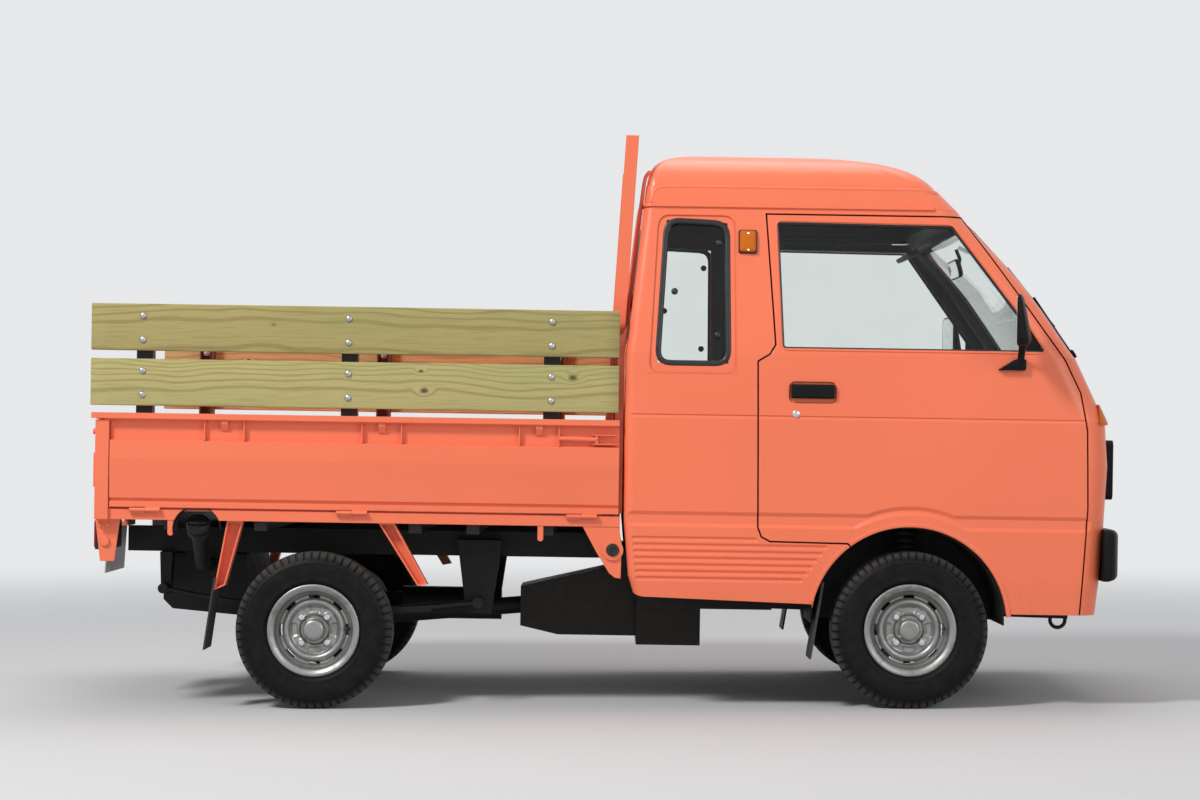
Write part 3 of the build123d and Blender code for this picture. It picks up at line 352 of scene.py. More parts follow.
sides = {"right": -1, "left": 1}
cab_heights = [300, 400, 570, 760, 898, 1092, 1210, 1342, 1472, 1553, 1616]
cab_half_widths = [684, 692, 697.5, 697.5, 697.5, 690, 672, 650, 626, 612, 600]
cab_flat_ends = [498, 508, 515, 525, 515, 423, 341, 243, 125, 57, -5]
cab_corner = 85


def body_place(points):
    """World metres of level-body millimetres: x from the front axle, tipped 0.9 degrees nose-down
    about its centre: x' = x cos t + (z - 244) sin t, z' = -x sin t + (z - 244) cos t + 244."""
    x, y, z = np.moveaxis(np.asarray(points, float), -1, 0)
    rise = z - axle_height
    ahead = x * math.cos(tip) + rise * math.sin(tip)
    up = -x * math.sin(tip) + rise * math.cos(tip) + axle_height
    return np.stack([ahead / 1000 + axle_x, y / 1000, up / 1000], -1)


def soft_corners(corners, radius, steps=8):
    """Closed path round the corners (n, d). Each corner b is cut back by the radius to a and c and
    rounded by the curve (1-t)^2 a + 2t(1-t) b + t^2 c."""
    corners = np.asarray(corners, float)
    before = np.roll(corners, 1, 0) - corners
    after = np.roll(corners, -1, 0) - corners
    start = corners + before / np.linalg.norm(before, axis=1)[:, None] * radius
    end = corners + after / np.linalg.norm(after, axis=1)[:, None] * radius
    t = np.linspace(0, 1, steps)[None, :, None]
    a, b, c = start[:, None], corners[:, None], end[:, None]
    curve = (1 - t) ** 2 * a + 2 * t * (1 - t) * b + t**2 * c
    return curve.reshape(-1, corners.shape[1])


def even_path(points, step, closed=True):
    """Points along a path at an even step of its running length, by linear interpolation."""
    points = np.asarray(points, float)
    if closed:
        points = np.vstack([points, points[:1]])
    length = np.r_[0, np.cumsum(np.linalg.norm(np.diff(points, axis=0), axis=1))]
    places = np.linspace(0, length[-1], max(3, int(length[-1] / step)) + 1)
    if closed:
        places = places[:-1]
    return np.stack([np.interp(places, length, axis) for axis in points.T], 1)


def grid_faces(rows, columns, around=False, along=False):
    """Quads of a rows by columns grid: corner (i, j) joins (i+1, j), (i+1, j+1) and (i, j+1).
    around closes the columns into a ring, along closes the rows."""
    row_starts = np.arange(rows if along else rows - 1)
    column_starts = np.arange(columns if around else columns - 1)
    i, j = [axis.ravel() for axis in np.meshgrid(row_starts, column_starts, indexing="ij")]
    here, up, right = i * columns, (i + 1) % rows * columns, (j + 1) % columns
    return np.stack([here + j, up + j, up + right, here + right], 1)


def ring_loft(name, rings, closed=False, sharp=40):
    """Skin over rings of points (n, m, 3) in metres. An open stack gets a flat face at each end,
    a closed one joins its last ring to its first."""
    rings = np.asarray(rings, float)
    count, around = rings.shape[:2]
    faces = grid_faces(count, around, around=True, along=closed).tolist()
    if not closed:
        faces += [list(range(around))[::-1], list(range((count - 1) * around, count * around))]
    return lay_mesh(name, rings, faces, sharp)


def body_loft(name, rings, closed=False, sharp=40):
    """Skin over rings of points in level millimetres."""
    return ring_loft(name, body_place(rings), closed, sharp)


def carry(name, path, outward, section, closed=True, sharp=40):
    """Profile carried along a path (n, 3) in level millimetres: path + a across + b outward for
    each (a, b) of the section. across is the path's direction crossed with outward, and on a
    closed path it points away from the middle."""
    outward = np.broadcast_to(np.asarray(outward, float), path.shape)
    outward = outward / np.linalg.norm(outward, axis=1)[:, None]
    ahead = np.roll(path, -1, 0) - np.roll(path, 1, 0) if closed else np.gradient(path, axis=0)
    across = np.cross(ahead, outward)
    across /= np.linalg.norm(across, axis=1)[:, None]
    if closed and (across * (path - path.mean(0))).sum() < 0:
        across = -across
    a, b = np.moveaxis(np.asarray(section, float), 1, 0)[:, None, :, None]
    rings = path[:, None] + a * across[:, None] + b * outward[:, None]
    return body_loft(name, rings, closed, sharp)


def wall_half_width(heights):
    """Half width of the cab's side wall at level heights, by linear interpolation."""
    return np.interp(heights, cab_heights, cab_half_widths)


def on_wall(outline, depth, side):
    """Points and outward directions on a cab side over (x, z) pairs: y is the half width less the
    depth and less r - sqrt(r^2 - d^2), the fall of the round front corner d past the flat side.
    The direction leans up by the wall's slope."""
    across, height = np.asarray(outline, float).T
    slope = (wall_half_width(height + 5) - wall_half_width(height - 5)) / 10
    past = np.clip(across - np.interp(height, cab_heights, cab_flat_ends), 0, cab_corner - 1)
    fall = cab_corner - np.sqrt(cab_corner**2 - past**2)
    points = np.stack([across, sides[side] * (wall_half_width(height) - depth - fall), height], 1)
    return points, np.stack([slope * 0, slope * 0 + sides[side], -slope], 1)


def wall_strip(name, side, line, radius, step, depth, section, sharp=50):
    """Section carried along (x, z) corners on a cab side: round them all and closed, with corners
    of the radius, or from end to end where the radius is 0."""
    closed = radius > 0
    path = even_path(soft_corners(line, radius) if closed else line, step, closed)
    points, outward = on_wall(path, depth, side)
    return carry(name + side, points, outward, section, closed, sharp)


def turned(profile, centres, axis, steps=32):
    """Turned solids about parallel axes: every (along, radius) of the profile swept in a circle.
    Gives (copies, rows, steps, 3) in the units of the centres."""
    axis = np.asarray(axis, float) / np.linalg.norm(axis)
    helper = np.array([0.0, 0, 1]) if abs(axis[2]) < 0.9 else np.array([1.0, 0, 0])
    first = np.cross(axis, helper)
    first /= np.linalg.norm(first)
    second = np.cross(axis, first)
    angle = np.arange(steps) * 2 * math.pi / steps
    circle = np.cos(angle)[:, None] * first + np.sin(angle)[:, None] * second
    profile = np.asarray(profile, float)
    solid = profile[:, None, :1] * axis + profile[:, None, 1:] * circle[None]
    return np.asarray(centres, float).reshape(-1, 1, 1, 3) + solid[None]


def many_lofts(name, stacks, sharp=40):
    """One mesh of several equal ring stacks (k, n, m, 3) in metres, each closed by end faces."""
    stacks = np.asarray(stacks, float)
    copies, count, around = stacks.shape[:3]
    quads = grid_faces(count, around, around=True)
    ends = np.stack([np.arange(around)[::-1], np.arange((count - 1) * around, count * around)])
    shift = np.arange(copies)[:, None, None] * count * around
    faces = (quads[None] + shift).reshape(-1, 4).tolist()
    faces += (ends[None] + shift).reshape(-1, around).tolist()
    return lay_mesh(name, stacks.reshape(-1, 3), faces, sharp)


def turned_parts(name, profile, centres, axis, steps=32, sharp=40):
    """One mesh of turned solids in level millimetres."""
    return many_lofts(name, body_place(turned(profile, centres, axis, steps)), sharp)


def finish(piece, material, body="chassis", stands_for=()):
    """Puts the material on a new piece, lets it ride on its body, and hides the CAD nodes that it
    stands for."""
    piece.data.materials.append(material)
    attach(piece, body)
    if stands_for:
        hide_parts(*stands_for)


def clear_glass(name, colour, index):
    """Clear glass or lens plastic with a faint film of dust that changes tint and roughness."""
    glass = Finish(name, Transmission_Weight=1.0, IOR=index)
    film = glass.noise(9.0, 5.0)
    glass.give(
        Base_Color=glass.mixed(film, tint(colour, 0.95), colour),
        Roughness=glass.span(film, 0.45, 0.8, 0.0, 0.05),
    )
    return glass.material


window_glass = clear_glass("window_glass", (0.93, 0.965, 0.95), 1.25)
dress(["cab_glass", "door_glass_right", "door_glass_left"], window_glass)

seal_rubber = dark_finish("seal_rubber", (0.016, 0.017, 0.019), 0.36, 60.0, 0.05, 0.4)
quarter_outline = [(-773, 1508), (-797, 1061), (-577, 1061), (-584, 1500)]
door_window_outline = [(-429, 1507), (-410, 1112), (400, 1112), (352, 1186), (116, 1502)]
opening_line = [(-479, 560), (-486, 1066), (-452, 1090), (-432, 1120), (-463, 1531), (60, 1531)]
quarter_section = [
    (-9, -10.5), (-9, -3), (-7, 0.5), (-3, 2.4), (4, 2.4), (8, 0.8), (9, -1), (9, -4), (-2, -6),
    (-2, -12),
]
run_section = [(-6, -13.5), (-6, -9), (-3.5, -7), (0.6, -7), (0.6, -13.5)]
opening_section = [(-8, -8), (-8, -1.5), (-6.5, 0), (6.5, 0), (8, -1.5), (8, -8)]
studs = [(-608, 1438), (-611, 1150), (-746, 1284)]
stud_profile = [(-1, 2), (-1, 10.5), (2, 10.5), (5, 9), (7, 6), (7.6, 2)]
for side in sides:
    seal = wall_strip("quarter_seal_", side, quarter_outline, 42, 12, 4, quarter_section)
    finish(seal, seal_rubber)
    run = wall_strip("door_glass_run_", side, door_window_outline, 12, 10, 0, run_section)
    finish(run, seal_rubber, "door_" + side)
    strip = wall_strip("door_opening_seal_", side, opening_line, 0, 14, 46.5, opening_section)
    finish(strip, seal_rubber)
    places, outward = on_wall(studs, 14, side)
    buttons = turned_parts("quarter_studs_" + side, stud_profile, places, outward[0])
    finish(buttons, seal_rubber)

screen_table = [
    (1092, 530, 22, 605), (1210, 452, 26, 587), (1342, 356, 28, 565), (1472, 238, 28, 541),
    (1553, 170, 28, 527),
]
rear_table = [(1092, -894), (1210, -880), (1342, -866), (1472, -852), (1553, -843)]
screen_corners = [(-605, 1128), (605, 1128), (532, 1512), (-532, 1512)]
rear_corners = [(-490, 1150), (490, 1150), (490, 1480), (-490, 1480)]
screen_section = [
    (-13, -10), (-12, -2), (-8, 2.5), (2, 3.4), (9, 2.2), (11, 0.4), (11, -3), (0, -4), (-1, -12),
]


def screen_reach(y, z):
    """x of the windscreen: the middle's reach at that height less the bow times the square of y
    over the flat half width."""
    heights, reach, bow, half = np.array(screen_table, float).T
    share = y / np.interp(z, heights, half)
    return np.interp(z, heights, reach) - np.interp(z, heights, bow) * share**2


y, z = even_path(soft_corners(screen_corners, 62), 15).T
slope_y = (screen_reach(y + 4, z) - screen_reach(y - 4, z)) / 8
slope_z = (screen_reach(y, z + 25) - screen_reach(y, z - 25)) / 50
path = np.stack([screen_reach(y, z), y, z], 1)
outward = np.stack([slope_y * 0 + 1, -slope_y, -slope_z], 1)
finish(carry("windscreen_seal", path, outward, screen_section, sharp=50), seal_rubber)

y, z = even_path(soft_corners(rear_corners, 52), 14).T
path = np.stack([np.interp(z, *np.array(rear_table, float).T), y, z], 1)
finish(carry("rear_window_seal", path, (-1, 0, 0.11), screen_section, sharp=50), seal_rubber)


# Pressed edges of the cab
# The turned lip round each door window and front wheel arch, the round-cornered dish round each
# quarter window and the fold along the raised roof, all pressed in the cab's own sheet steel.

window_lip = [(2.0, -0.8), (2.2, 1.6), (3.0, 2.4), (6.6, 2.6), (7.4, 1.8), (7.8, -0.8)]
dish_lip = [(-1.8, -0.4), (-1.0, 0.6), (0, 0.9), (1.0, 0.6), (1.8, -0.4)]
fold_section = [(-6, -1.5), (-4, 0.5), (-1.5, 1.6), (1.5, 1.6), (4, 0.5), (6, -1.5)]
arch_section = [(-7, -6), (-6.4, 1.6), (-2.5, 2.8), (2.5, 2.8), (6.4, 1.6), (7, -6)]
dish_corners = np.array([(-800, 1525), (-824, 1030), (-552, 1030), (-560, 1525)], float)
dish_middle = dish_corners.mean(0)
dish_round = soft_corners(dish_corners, 38, 9)
dish_square = soft_corners(dish_middle + (dish_corners - dish_middle) * 1.012, 3, 9)
dish_top, dish_bottom = -0.15, 4.4
fold_line = [
    (-822, 1563), (-821, 1580), (-815, 1597), (-803, 1608), (-785, 1613.5), (-700, 1614.5),
    (0, 1614.5), (40, 1611), (72, 1602),
]
arch_radius, arch_x, arch_z = 310, -8, 262
door_arch, quarter_arch = (5.5, 126.2), (129.2, 167.5)
for side in sides:
    door = "door_" + side
    for part, body, degrees in (("door", door, door_arch), ("quarter", "chassis", quarter_arch)):
        turn = np.radians(np.linspace(*degrees, 60))
        arch = arch_radius * np.stack([np.cos(turn), np.sin(turn)], 1) + (arch_x, arch_z)
        path, outward = on_wall(arch, 0, side)
        name = "%s_arch_lip_%s" % (part, side)
        lip = carry(name, path, outward, arch_section, closed=False, sharp=60)
        finish(lip, cab_paint, body)
    lip = wall_strip("door_window_lip_", side, door_window_outline, 16, 8, 0, window_lip, 60)
    finish(lip, cab_paint, door)
    finish(wall_strip("quarter_dish_lip_", side, dish_corners, 38, 8, 0, dish_lip, 60), cab_paint)
    edges = [(dish_round, dish_top), (dish_square, dish_top), (dish_square, dish_bottom)]
    edges += [(dish_round, dish_bottom)]
    gussets = np.stack([on_wall(line, depth, side)[0] for line, depth in edges], 1)
    corners = many_lofts("quarter_dish_corners_" + side, body_place(gussets.reshape(4, 9, 4, 3)))
    finish(corners, cab_paint)
    finish(wall_strip("roof_fold_", side, fold_line, 0, 10, 0, fold_section, 60), cab_paint)


# Side marker, corner and front lamps
# Amber side markers high on the quarters, two screws each, amber corner lamps at the nose, and
# square headlamps: a bright reflector bowl and bulb behind a fluted glass.

def rounded_ring(width, height, radius, steps=6):
    """Rounded rectangle about the origin (n, 2), with a quarter circle at each corner."""
    turn = (np.arange(4)[:, None] + np.linspace(0, 1, steps)[None]) * math.pi / 2
    signs = np.array([(1, 1), (-1, 1), (-1, -1), (1, -1)])
    centres = signs * (np.array([width, height]) / 2 - radius)
    ring = centres[:, None] + radius * np.stack([np.cos(turn), np.sin(turn)], -1)
    return ring.reshape(-1, 2)


def moulded(centre, wide, out, size, corner, edge, dome=0.0):
    """Rings of a moulded block whose back face has its middle at the centre: rounded rectangles
    that draw in by a quarter circle at the front edge, then rise by a parabola over the face."""
    wide = np.asarray(wide, float) / np.linalg.norm(wide)
    out = np.asarray(out, float) / np.linalg.norm(out)
    tall = np.cross(out, wide)
    turn = np.linspace(0, math.pi / 2, 6)
    insets = [0] + (edge * (1 - np.cos(turn))).tolist()
    rises = [0] + (size[2] - edge * (1 - np.sin(turn))).tolist()
    if dome:
        share = np.linspace(0.15, 0.97, 7)
        insets += (edge + share * (min(size[:2]) / 2 - edge)).tolist()
        rises += (size[2] + dome * (1 - (1 - share) ** 2)).tolist()
    rings = []
    for inset, rise in zip(insets, rises):
        radius = max(corner - inset, min(size[:2]) * 0.01)
        ring = rounded_ring(size[0] - 2 * inset, size[1] - 2 * inset, radius)
        rings.append(np.asarray(centre) + ring[:, :1] * wide + ring[:, 1:] * tall + rise * out)
    return np.array(rings)


def moulded_block(name, *shape):
    """Piece of the rings that moulded gives."""
    return body_loft(name, moulded(*shape))


def lens_plastic(name, colour, flute_scale, direction="X"):
    """Moulded lens: coloured plastic whose inner flutes show as bands in the bump."""
    lens = Finish(name, Roughness=0.28, Specular_IOR_Level=0.16)
    lens.give(Base_Color=lens.mixed(lens.noise(40.0, 4.0), tint(colour, 0.8), colour))
    lens.relief(lens.bands(direction, flute_scale), 0.5)
    return lens.material


def bright_metal(name, colour, roughness, scale=35.0):
    """Plated bright metal whose tone and roughness vary by a noise."""
    metal = Finish(name, Metallic=1.0)
    grain = metal.noise(scale, 5.0)
    metal.give(
        Base_Color=metal.mixed(grain, tint(colour, 0.72), tint(colour, 1.15)),
        Roughness=metal.span(grain, 0.3, 0.75, roughness, roughness + 0.15),
        Normal=metal.soft_edge(0.0012),
    )
    return metal.material


x_axis, y_axis = (1, 0, 0), (0, 1, 0)
amber_lens = lens_plastic("amber_lens", (0.62, 0.145, 0.003), 55.0)
chrome = bright_metal("chrome", (0.72, 0.72, 0.72), 0.12)
marker_screw = [(-3, 3.4), (0.6, 3.4), (1.5, 2.4), (1.6, 0.8)]
for side, sign in sides.items():
    (place,), (out,) = on_wall([(-520.5, 1442)], -0.2, side)
    base = moulded_block("side_marker_base_" + side, place, x_axis, out, (58, 76, 5), 7, 2)
    finish(base, seal_rubber)
    place = place + 4 * np.array([0, sign, 0.17])
    lens = moulded_block("side_marker_lens_" + side, place, x_axis, out, (50, 67, 12), 8, 6, 2)
    finish(lens, amber_lens)
    places, _ = on_wall([(-519, 1468), (-519, 1416)], -16.5, side)
    finish(turned_parts("side_marker_screws_" + side, marker_screw, places, out, 16), chrome)

dress(["corner_lamps"], amber_lens)

lamp_glass = clear_glass("lamp_glass", (0.95, 0.97, 0.97), 1.35)
lamp_y, lamp_z = 450, 750
mirror_coat = Finish("lamp_bowl", Metallic=1.0, Roughness=0.14)
_, y, z = mirror_coat.axes()
from_side = mirror_coat.maths("SUBTRACT", mirror_coat.maths("ABSOLUTE", y), lamp_y / 1000)
from_level = mirror_coat.maths("SUBTRACT", z, 0.7402)
squares = [mirror_coat.maths("POWER", offset, 2.0) for offset in (from_side, from_level)]
bowl_depth = mirror_coat.maths("MULTIPLY", mirror_coat.maths("ADD", *squares), 5.0)
mirror_coat.relief(bowl_depth, 1.0, 1.0)
tone = mirror_coat.mixed(mirror_coat.noise(30.0, 3.0), (0.62, 0.62, 0.62), (0.78, 0.78, 0.78))
mirror_coat.give(Base_Color=tone)
lamp_bowl = mirror_coat.material

bowl_size, bowl_back = np.array([198, 138, 14]), 1.2
lens_half_width, lens_half_height = 102, 72
lens_front, lens_back, lens_flutes, flute_depth = 627.6, 623.6, 9, 1.4
y_grid, z_grid = np.meshgrid(np.linspace(-1, 1, 83), np.linspace(-1, 1, 31), indexing="ij")
rows, columns = y_grid.shape
rim_fall = 3.2 * np.maximum(np.abs(y_grid), np.abs(z_grid)) ** 8
flutes = flute_depth * np.abs(np.sin(y_grid * lens_flutes * math.pi)) * (np.abs(z_grid) < 0.93)
lens_spread = y_grid * lens_half_width, z_grid * lens_half_height
lens_face = np.stack([lens_front - rim_fall, *lens_spread], -1).reshape(-1, 3)
lens_rear = np.stack([lens_back + flutes, *lens_spread], -1).reshape(-1, 3)
edge_line = np.concatenate([
    np.arange(columns), np.arange(1, rows) * columns + columns - 1,
    (rows - 1) * columns + np.arange(columns - 2, -1, -1), np.arange(rows - 2, 0, -1) * columns,
])
next_edge = np.roll(edge_line, -1)
behind = rows * columns
walls = np.stack([edge_line, next_edge, next_edge + behind, edge_line + behind], 1)
quads = grid_faces(rows, columns)
lens_faces = np.vstack([quads, quads[:, ::-1] + behind, walls]).tolist()
rim_corners = [(-103, -73), (103, -73), (103, 73), (-103, 73)]
rim_section = [(-5, -4), (-5, 2), (-2, 3.6), (1.6, 2.8), (1.6, -4)]
for side, sign in sides.items():
    middle = np.array([0, sign * lamp_y, lamp_z], float)
    bowl_rings = []
    for share in (1.0, 0.8, 0.6, 0.4, 0.2, 0.04):
        y, z = (rounded_ring(*bowl_size * share) + middle[1:]).T
        nose_face = 628.6 - 18 * (y / 612.5) ** 2
        bowl_rings.append(np.stack([nose_face, y, z], 1))
    bowl_rings += [ring - (bowl_back, 0, 0) for ring in bowl_rings[::-1]]
    finish(body_loft("headlamp_bowl_" + side, bowl_rings), lamp_bowl)
    bulb_place = middle + (621.5, 0, 0)
    bulb_shape = (30, 30, 2.4), 14.9, 1.5, 0.8
    bulb = moulded_block("headlamp_bulb_" + side, bulb_place, y_axis, x_axis, *bulb_shape)
    finish(bulb, lamp_bowl)
    skins = body_place(np.concatenate([lens_face, lens_rear]) + middle)
    finish(lay_mesh("headlamp_lens_" + side, skins, lens_faces, 30), lamp_glass)
    path = np.insert(even_path(soft_corners(rim_corners, 14), 8), 0, 630, axis=1) + middle
    trim = carry("headlamp_rim_" + side, path, x_axis, rim_section)
    finish(trim, chrome, stands_for=["headlamps"])


# Front bumper
# One deep moulding of black plastic, bowed across the nose, round at its edges and ends, and
# bolted to two brackets behind the nose panel.

bumper_low, bumper_high, bumper_back = 406, 566, 590
bowed_half, edge_round = 640, 22
across = np.r_[-704, -702, -697, -690, -665, np.linspace(-bowed_half, bowed_half, 33)]
across = np.r_[across, 665, 690, 697, 702, 704]
aside = np.abs(across)
bow_reach = 655 - 12 * (across / bowed_half) ** 2
end_reach = np.interp(aside, [bowed_half, 690, 697, 702, 704], [643, 625, 617, 608, 600])
reach = np.where(aside <= bowed_half, bow_reach, end_reach)[:, None]
drawn_in = np.interp(aside, [690, 697, 702, 704], [0, 1.5, 5, 11])[:, None]
bottom, top = bumper_low + drawn_in, bumper_high - drawn_in
radius = np.minimum(edge_round, (reach - bumper_back) * 0.9)
turn = np.linspace(0, math.pi / 2, 8)[None]
rear = np.full_like(reach, bumper_back)
section_x = [reach - radius * (1 - np.sin(turn)), reach - radius * (1 - np.cos(turn)), rear, rear]
section_z = [bottom + radius * (1 - np.cos(turn)), top - radius * (1 - np.sin(turn)), top, bottom]
section_x, section_z = np.hstack(section_x), np.hstack(section_z)
section_y = np.broadcast_to(across[:, None], section_x.shape)
bumper = body_loft("bumper_moulding", np.stack([section_x, section_y, section_z], -1))
finish(bumper, black_plastic, stands_for=["front_bumper"])


# Door mirrors and locks
# A plastic housing that thins to the top, its flat mirror glass turned in to the driver, on a
# short arm and a foot screwed to the door under the window. A black sail plate fills the
# window's corner, and a plated lock sits below the handle.

def upright(outline, y):
    """Points of an (x, z) outline at one y."""
    return np.insert(np.asarray(outline, float), 1, y, axis=1)


def rod_along(name, way, step, outward, half_sizes, steps=14, sharp=60):
    """Rod of elliptic section along a way."""
    turn = np.arange(steps) * 2 * math.pi / steps
    section = np.stack([np.cos(turn), np.sin(turn)], 1) * half_sizes
    path = even_path(way, step, closed=False)
    return carry(name, path, outward, section, closed=False, sharp=sharp)


mirror_face = bright_metal("mirror_face", (0.80, 0.82, 0.82), 0.02)
housing_size, inward_turn = ((114, 161, 42), 26, 22, 4), 0.24
taper_from, taper_height, taper_share = 1125, 160, 0.72
foot_outline = soft_corners([(252, 1054), (339, 1054), (340, 1088), (306, 1088)], 6, 5)
foot_middle = foot_outline.mean(0)
sail_outline = soft_corners([(344, 1112.5), (399, 1112.5), (352, 1185), (344, 1195)], 3, 4)
lock_profile = [
    (0, 3), (0, 11.5), (1.5, 11.5), (2.4, 10.5), (2.6, 8.6), (4.4, 8.2), (5.2, 7.2), (5.2, 4),
    (4.6, 3.4), (4.6, 1),
]
for side, sign in sides.items():
    body = "door_" + side
    housing_back = np.array([298.0, sign * 799.5, 1205.0])
    turn_across, turn_ahead = sign * math.sin(inward_turn), math.cos(inward_turn)
    wide = (-turn_across, turn_ahead, 0)
    housing_rings = moulded(housing_back, wide, x_axis, *housing_size)
    height_share = np.clip((housing_rings[..., 2] - taper_from) / taper_height, 0, 1)
    reach = moulded((0, 0, 0), y_axis, x_axis, *housing_size)[..., 0]
    housing_rings[..., 0] -= reach * taper_share * height_share
    housing = body_loft("mirror_housing_" + side, housing_rings)
    finish(housing, black_plastic, body, ["door_mirror_" + side])
    look = (-turn_ahead, -turn_across, 0)
    glass_size = (100, 147, 1.6), 20, 0.6
    glass = moulded_block("mirror_glass_" + side, housing_back, wide, look, *glass_size)
    finish(glass, mirror_face, body)
    arm_way = [(318, 758, 1150), (320, 738, 1118), (322, 712, 1098), (321, 702, 1066)]
    arm_way = np.array(arm_way) * (1, sign, 1)
    arm = rod_along("mirror_arm_" + side, arm_way, 6, (0, 1, 0.2), (11, 8), 16)
    finish(arm, black_plastic, body)
    foot_rings = []
    for depth, inset in ((-1, 0), (-14, 0), (-19, 3), (-20.5, 7)):
        shrunk = (foot_outline - foot_middle) * (1 - inset / 45) + foot_middle
        foot_rings.append(on_wall(shrunk, depth, side)[0])
    finish(body_loft("mirror_foot_" + side, foot_rings), black_plastic, body)
    sail_rings = [upright(sail_outline, sign * y) for y in (656, 676, 677.5)]
    finish(body_loft("mirror_sail_" + side, sail_rings), black_plastic, body)
    places, (out,) = on_wall([(-367, 909)], 0.4, side)
    finish(turned_parts("door_lock_" + side, lock_profile, places, out), chrome, body)


# Wheels
# Radial tyres with four grooves and notched shoulders on ten-inch pressed steel wheels in silver
# paint: an embossed, slotted disc welded into a rolled rim, four nuts, a plain cap and a valve.

half_track = 600


def wheel_place(points, x, sign):
    """World metres of wheel millimetres (outwards, forwards, up) for the wheel at x."""
    out, ahead, up = np.moveaxis(np.asarray(points, float), -1, 0)
    level = [x + ahead, sign * (half_track + out), axle_height + up]
    return np.stack(level, -1) / 1000 + (axle_x, 0, 0)


def smooth_line(points, step):
    """Even points along an open line, each the mean of itself and its two neighbours, as a
    pressing rounds off."""
    line = even_path(points, step, closed=False)
    line = np.vstack([line[:1], line, line[-1:]])
    return np.stack([np.convolve(axis, np.ones(3) / 3, "valid") for axis in line.T], 1)


def step_up(value, low, high):
    """Smooth rise from 0 to 1 as a value goes from low to high: 3t^2 - 2t^3."""
    t = np.clip((value - low) / (high - low), 0, 1)
    return t * t * (3 - 2 * t)


def crown(across):
    """Radius of the tread at a distance from its middle: 244 - 2 (a / 52)^2."""
    return 244 - 2 * (across / 52) ** 2


pitches, notch_depth, notch_side, sipe_depth = 60, 4.0, 3.0, 3.0
pitch_marks = np.array([0, 0.18, 0.20, 0.25, 0.27, 0.66, 0.71, 0.93])
tyre_half = [
    (56.5, 127.8), (56.5, 140), (58, 145), (62, 149), (66, 151.5), (68.6, 155), (69.4, 159),
    (68.8, 163), (70.2, 171), (71.6, 181), (72.2, 192), (71.8, 202), (71.0, 206.5),
    (69.8, 207.5), (70.4, 209.5), (69.0, 213), (67.4, 216.5), (64.6, 221.5), (61.2, 227.5),
    (57.4, 232.6), (53, 236.8), (48.6, 239.8), (44.5, 241.9),
]
groove_edges = [(3.3, 0), (2.5, 6.5), (-2.5, 6.5), (-3.3, 0)]
for groove in (37, 13):
    tyre_half += [(groove + shift, crown(groove) - sink) for shift, sink in groove_edges]
    tyre_half += [(groove - 12, crown(groove - 12))]
tyre_half = np.array(tyre_half)
tyre_line = np.vstack([tyre_half, tyre_half[::-1] * (-1, 1), [(-52, 127.8)], [(52, 127.8)]])
tyre_across, tyre_radius = tyre_line.T[..., None]
shoulder = step_up(tyre_radius, 219, 229) * (np.abs(tyre_across) > 40.5)
middle = (tyre_radius > 242.5) * (np.abs(tyre_across) < 33)
tread_angle = ((np.arange(pitches)[:, None] + pitch_marks) * 2 * math.pi / pitches).ravel()
notch = np.tile([0, 0, 0, 0, 0, 0, 1, 1], pitches)
sipe = np.tile([0, 0, 1, 1, 0, 0, 0, 0], pitches)
dusty = step_up(tyre_radius, 219, 243) * (1 - 0.6 * notch)
tyre_across = tyre_across - notch_side * np.sign(tyre_across) * shoulder * notch
tyre_radius = tyre_radius - (notch_depth * shoulder * notch + sipe_depth * middle * sipe)
tyre_up = tyre_radius * np.cos(tread_angle)
tyre_rings = np.stack([tyre_across, tyre_radius * np.sin(tread_angle), tyre_up], -1)

rubber = Finish("tyre_rubber", Specular_IOR_Level=0.12)
grain, specks = rubber.noise(24.0, 7.0, 0.7), rubber.noise(190.0, 3.0)
tread_share = rubber.node("Attribute", {"attribute_name": "tread"}).outputs["Fac"]
dark_share = rubber.span(grain, 0.3, 0.75)
wall_tone = rubber.mixed(dark_share, (0.0042, 0.0042, 0.0042), (0.0115, 0.011, 0.0105))
worn_tone = rubber.mixed(specks, (0.034, 0.032, 0.029), (0.085, 0.080, 0.072))
rubber.give(
    Base_Color=rubber.mixed(tread_share, wall_tone, worn_tone),
    Roughness=rubber.span(grain, 0.3, 0.7, 0.42, 0.62),
)
rubber.relief(specks, 0.12)

silver = Finish("wheel_silver", Metallic=0.72)
grain, flakes = silver.noise(16.0, 7.0, 0.7), silver.noise(600.0, 1.0)
grime = silver.maths("MULTIPLY", silver.span(grain, 0.44, 0.72), 0.55)
clean = silver.mixed(flakes, (0.25, 0.25, 0.245), (0.37, 0.37, 0.36))
silver.give(
    Base_Color=silver.mixed(grime, clean, (0.09, 0.082, 0.070)),
    Roughness=silver.span(grain, 0.3, 0.7, 0.27, 0.50),
)

disc_points = [
    (14, 24), (14, 45), (20, 48), (20, 72), (22, 76), (29, 81), (32, 86), (32, 90), (26, 96),
    (20.5, 98.5), (20, 107.5), (25, 109.5), (32, 113), (38, 118.5), (50, 121.5), (55, 124),
    (57.4, 128.5), (59, 132), (61.2, 135), (61.6, 138.5), (60.9, 142), (58.6, 143.2),
]
barrel_points = [
    (20, 110.8), (-26, 110.8), (-34, 124), (-57, 125), (-60.5, 128), (-61, 139),
    (-60.2, 142.4), (-58.6, 143.2),
]
nut_offset, sheet_steel = 39.6, 0.0026
disc_columns, barrel_columns, windows, slots = 192, 96, 4, 8
window_turn, window_inner, window_outer, window_depth = (0.27, 0.36), (52, 56), (69, 73), 4.0
pad_edge, pad_height, pad_inner, pad_outer = (12, 15), 2.0, 40, 74
slot_inner, slot_outer, slot_half_turn = 99, 107.5, 0.165
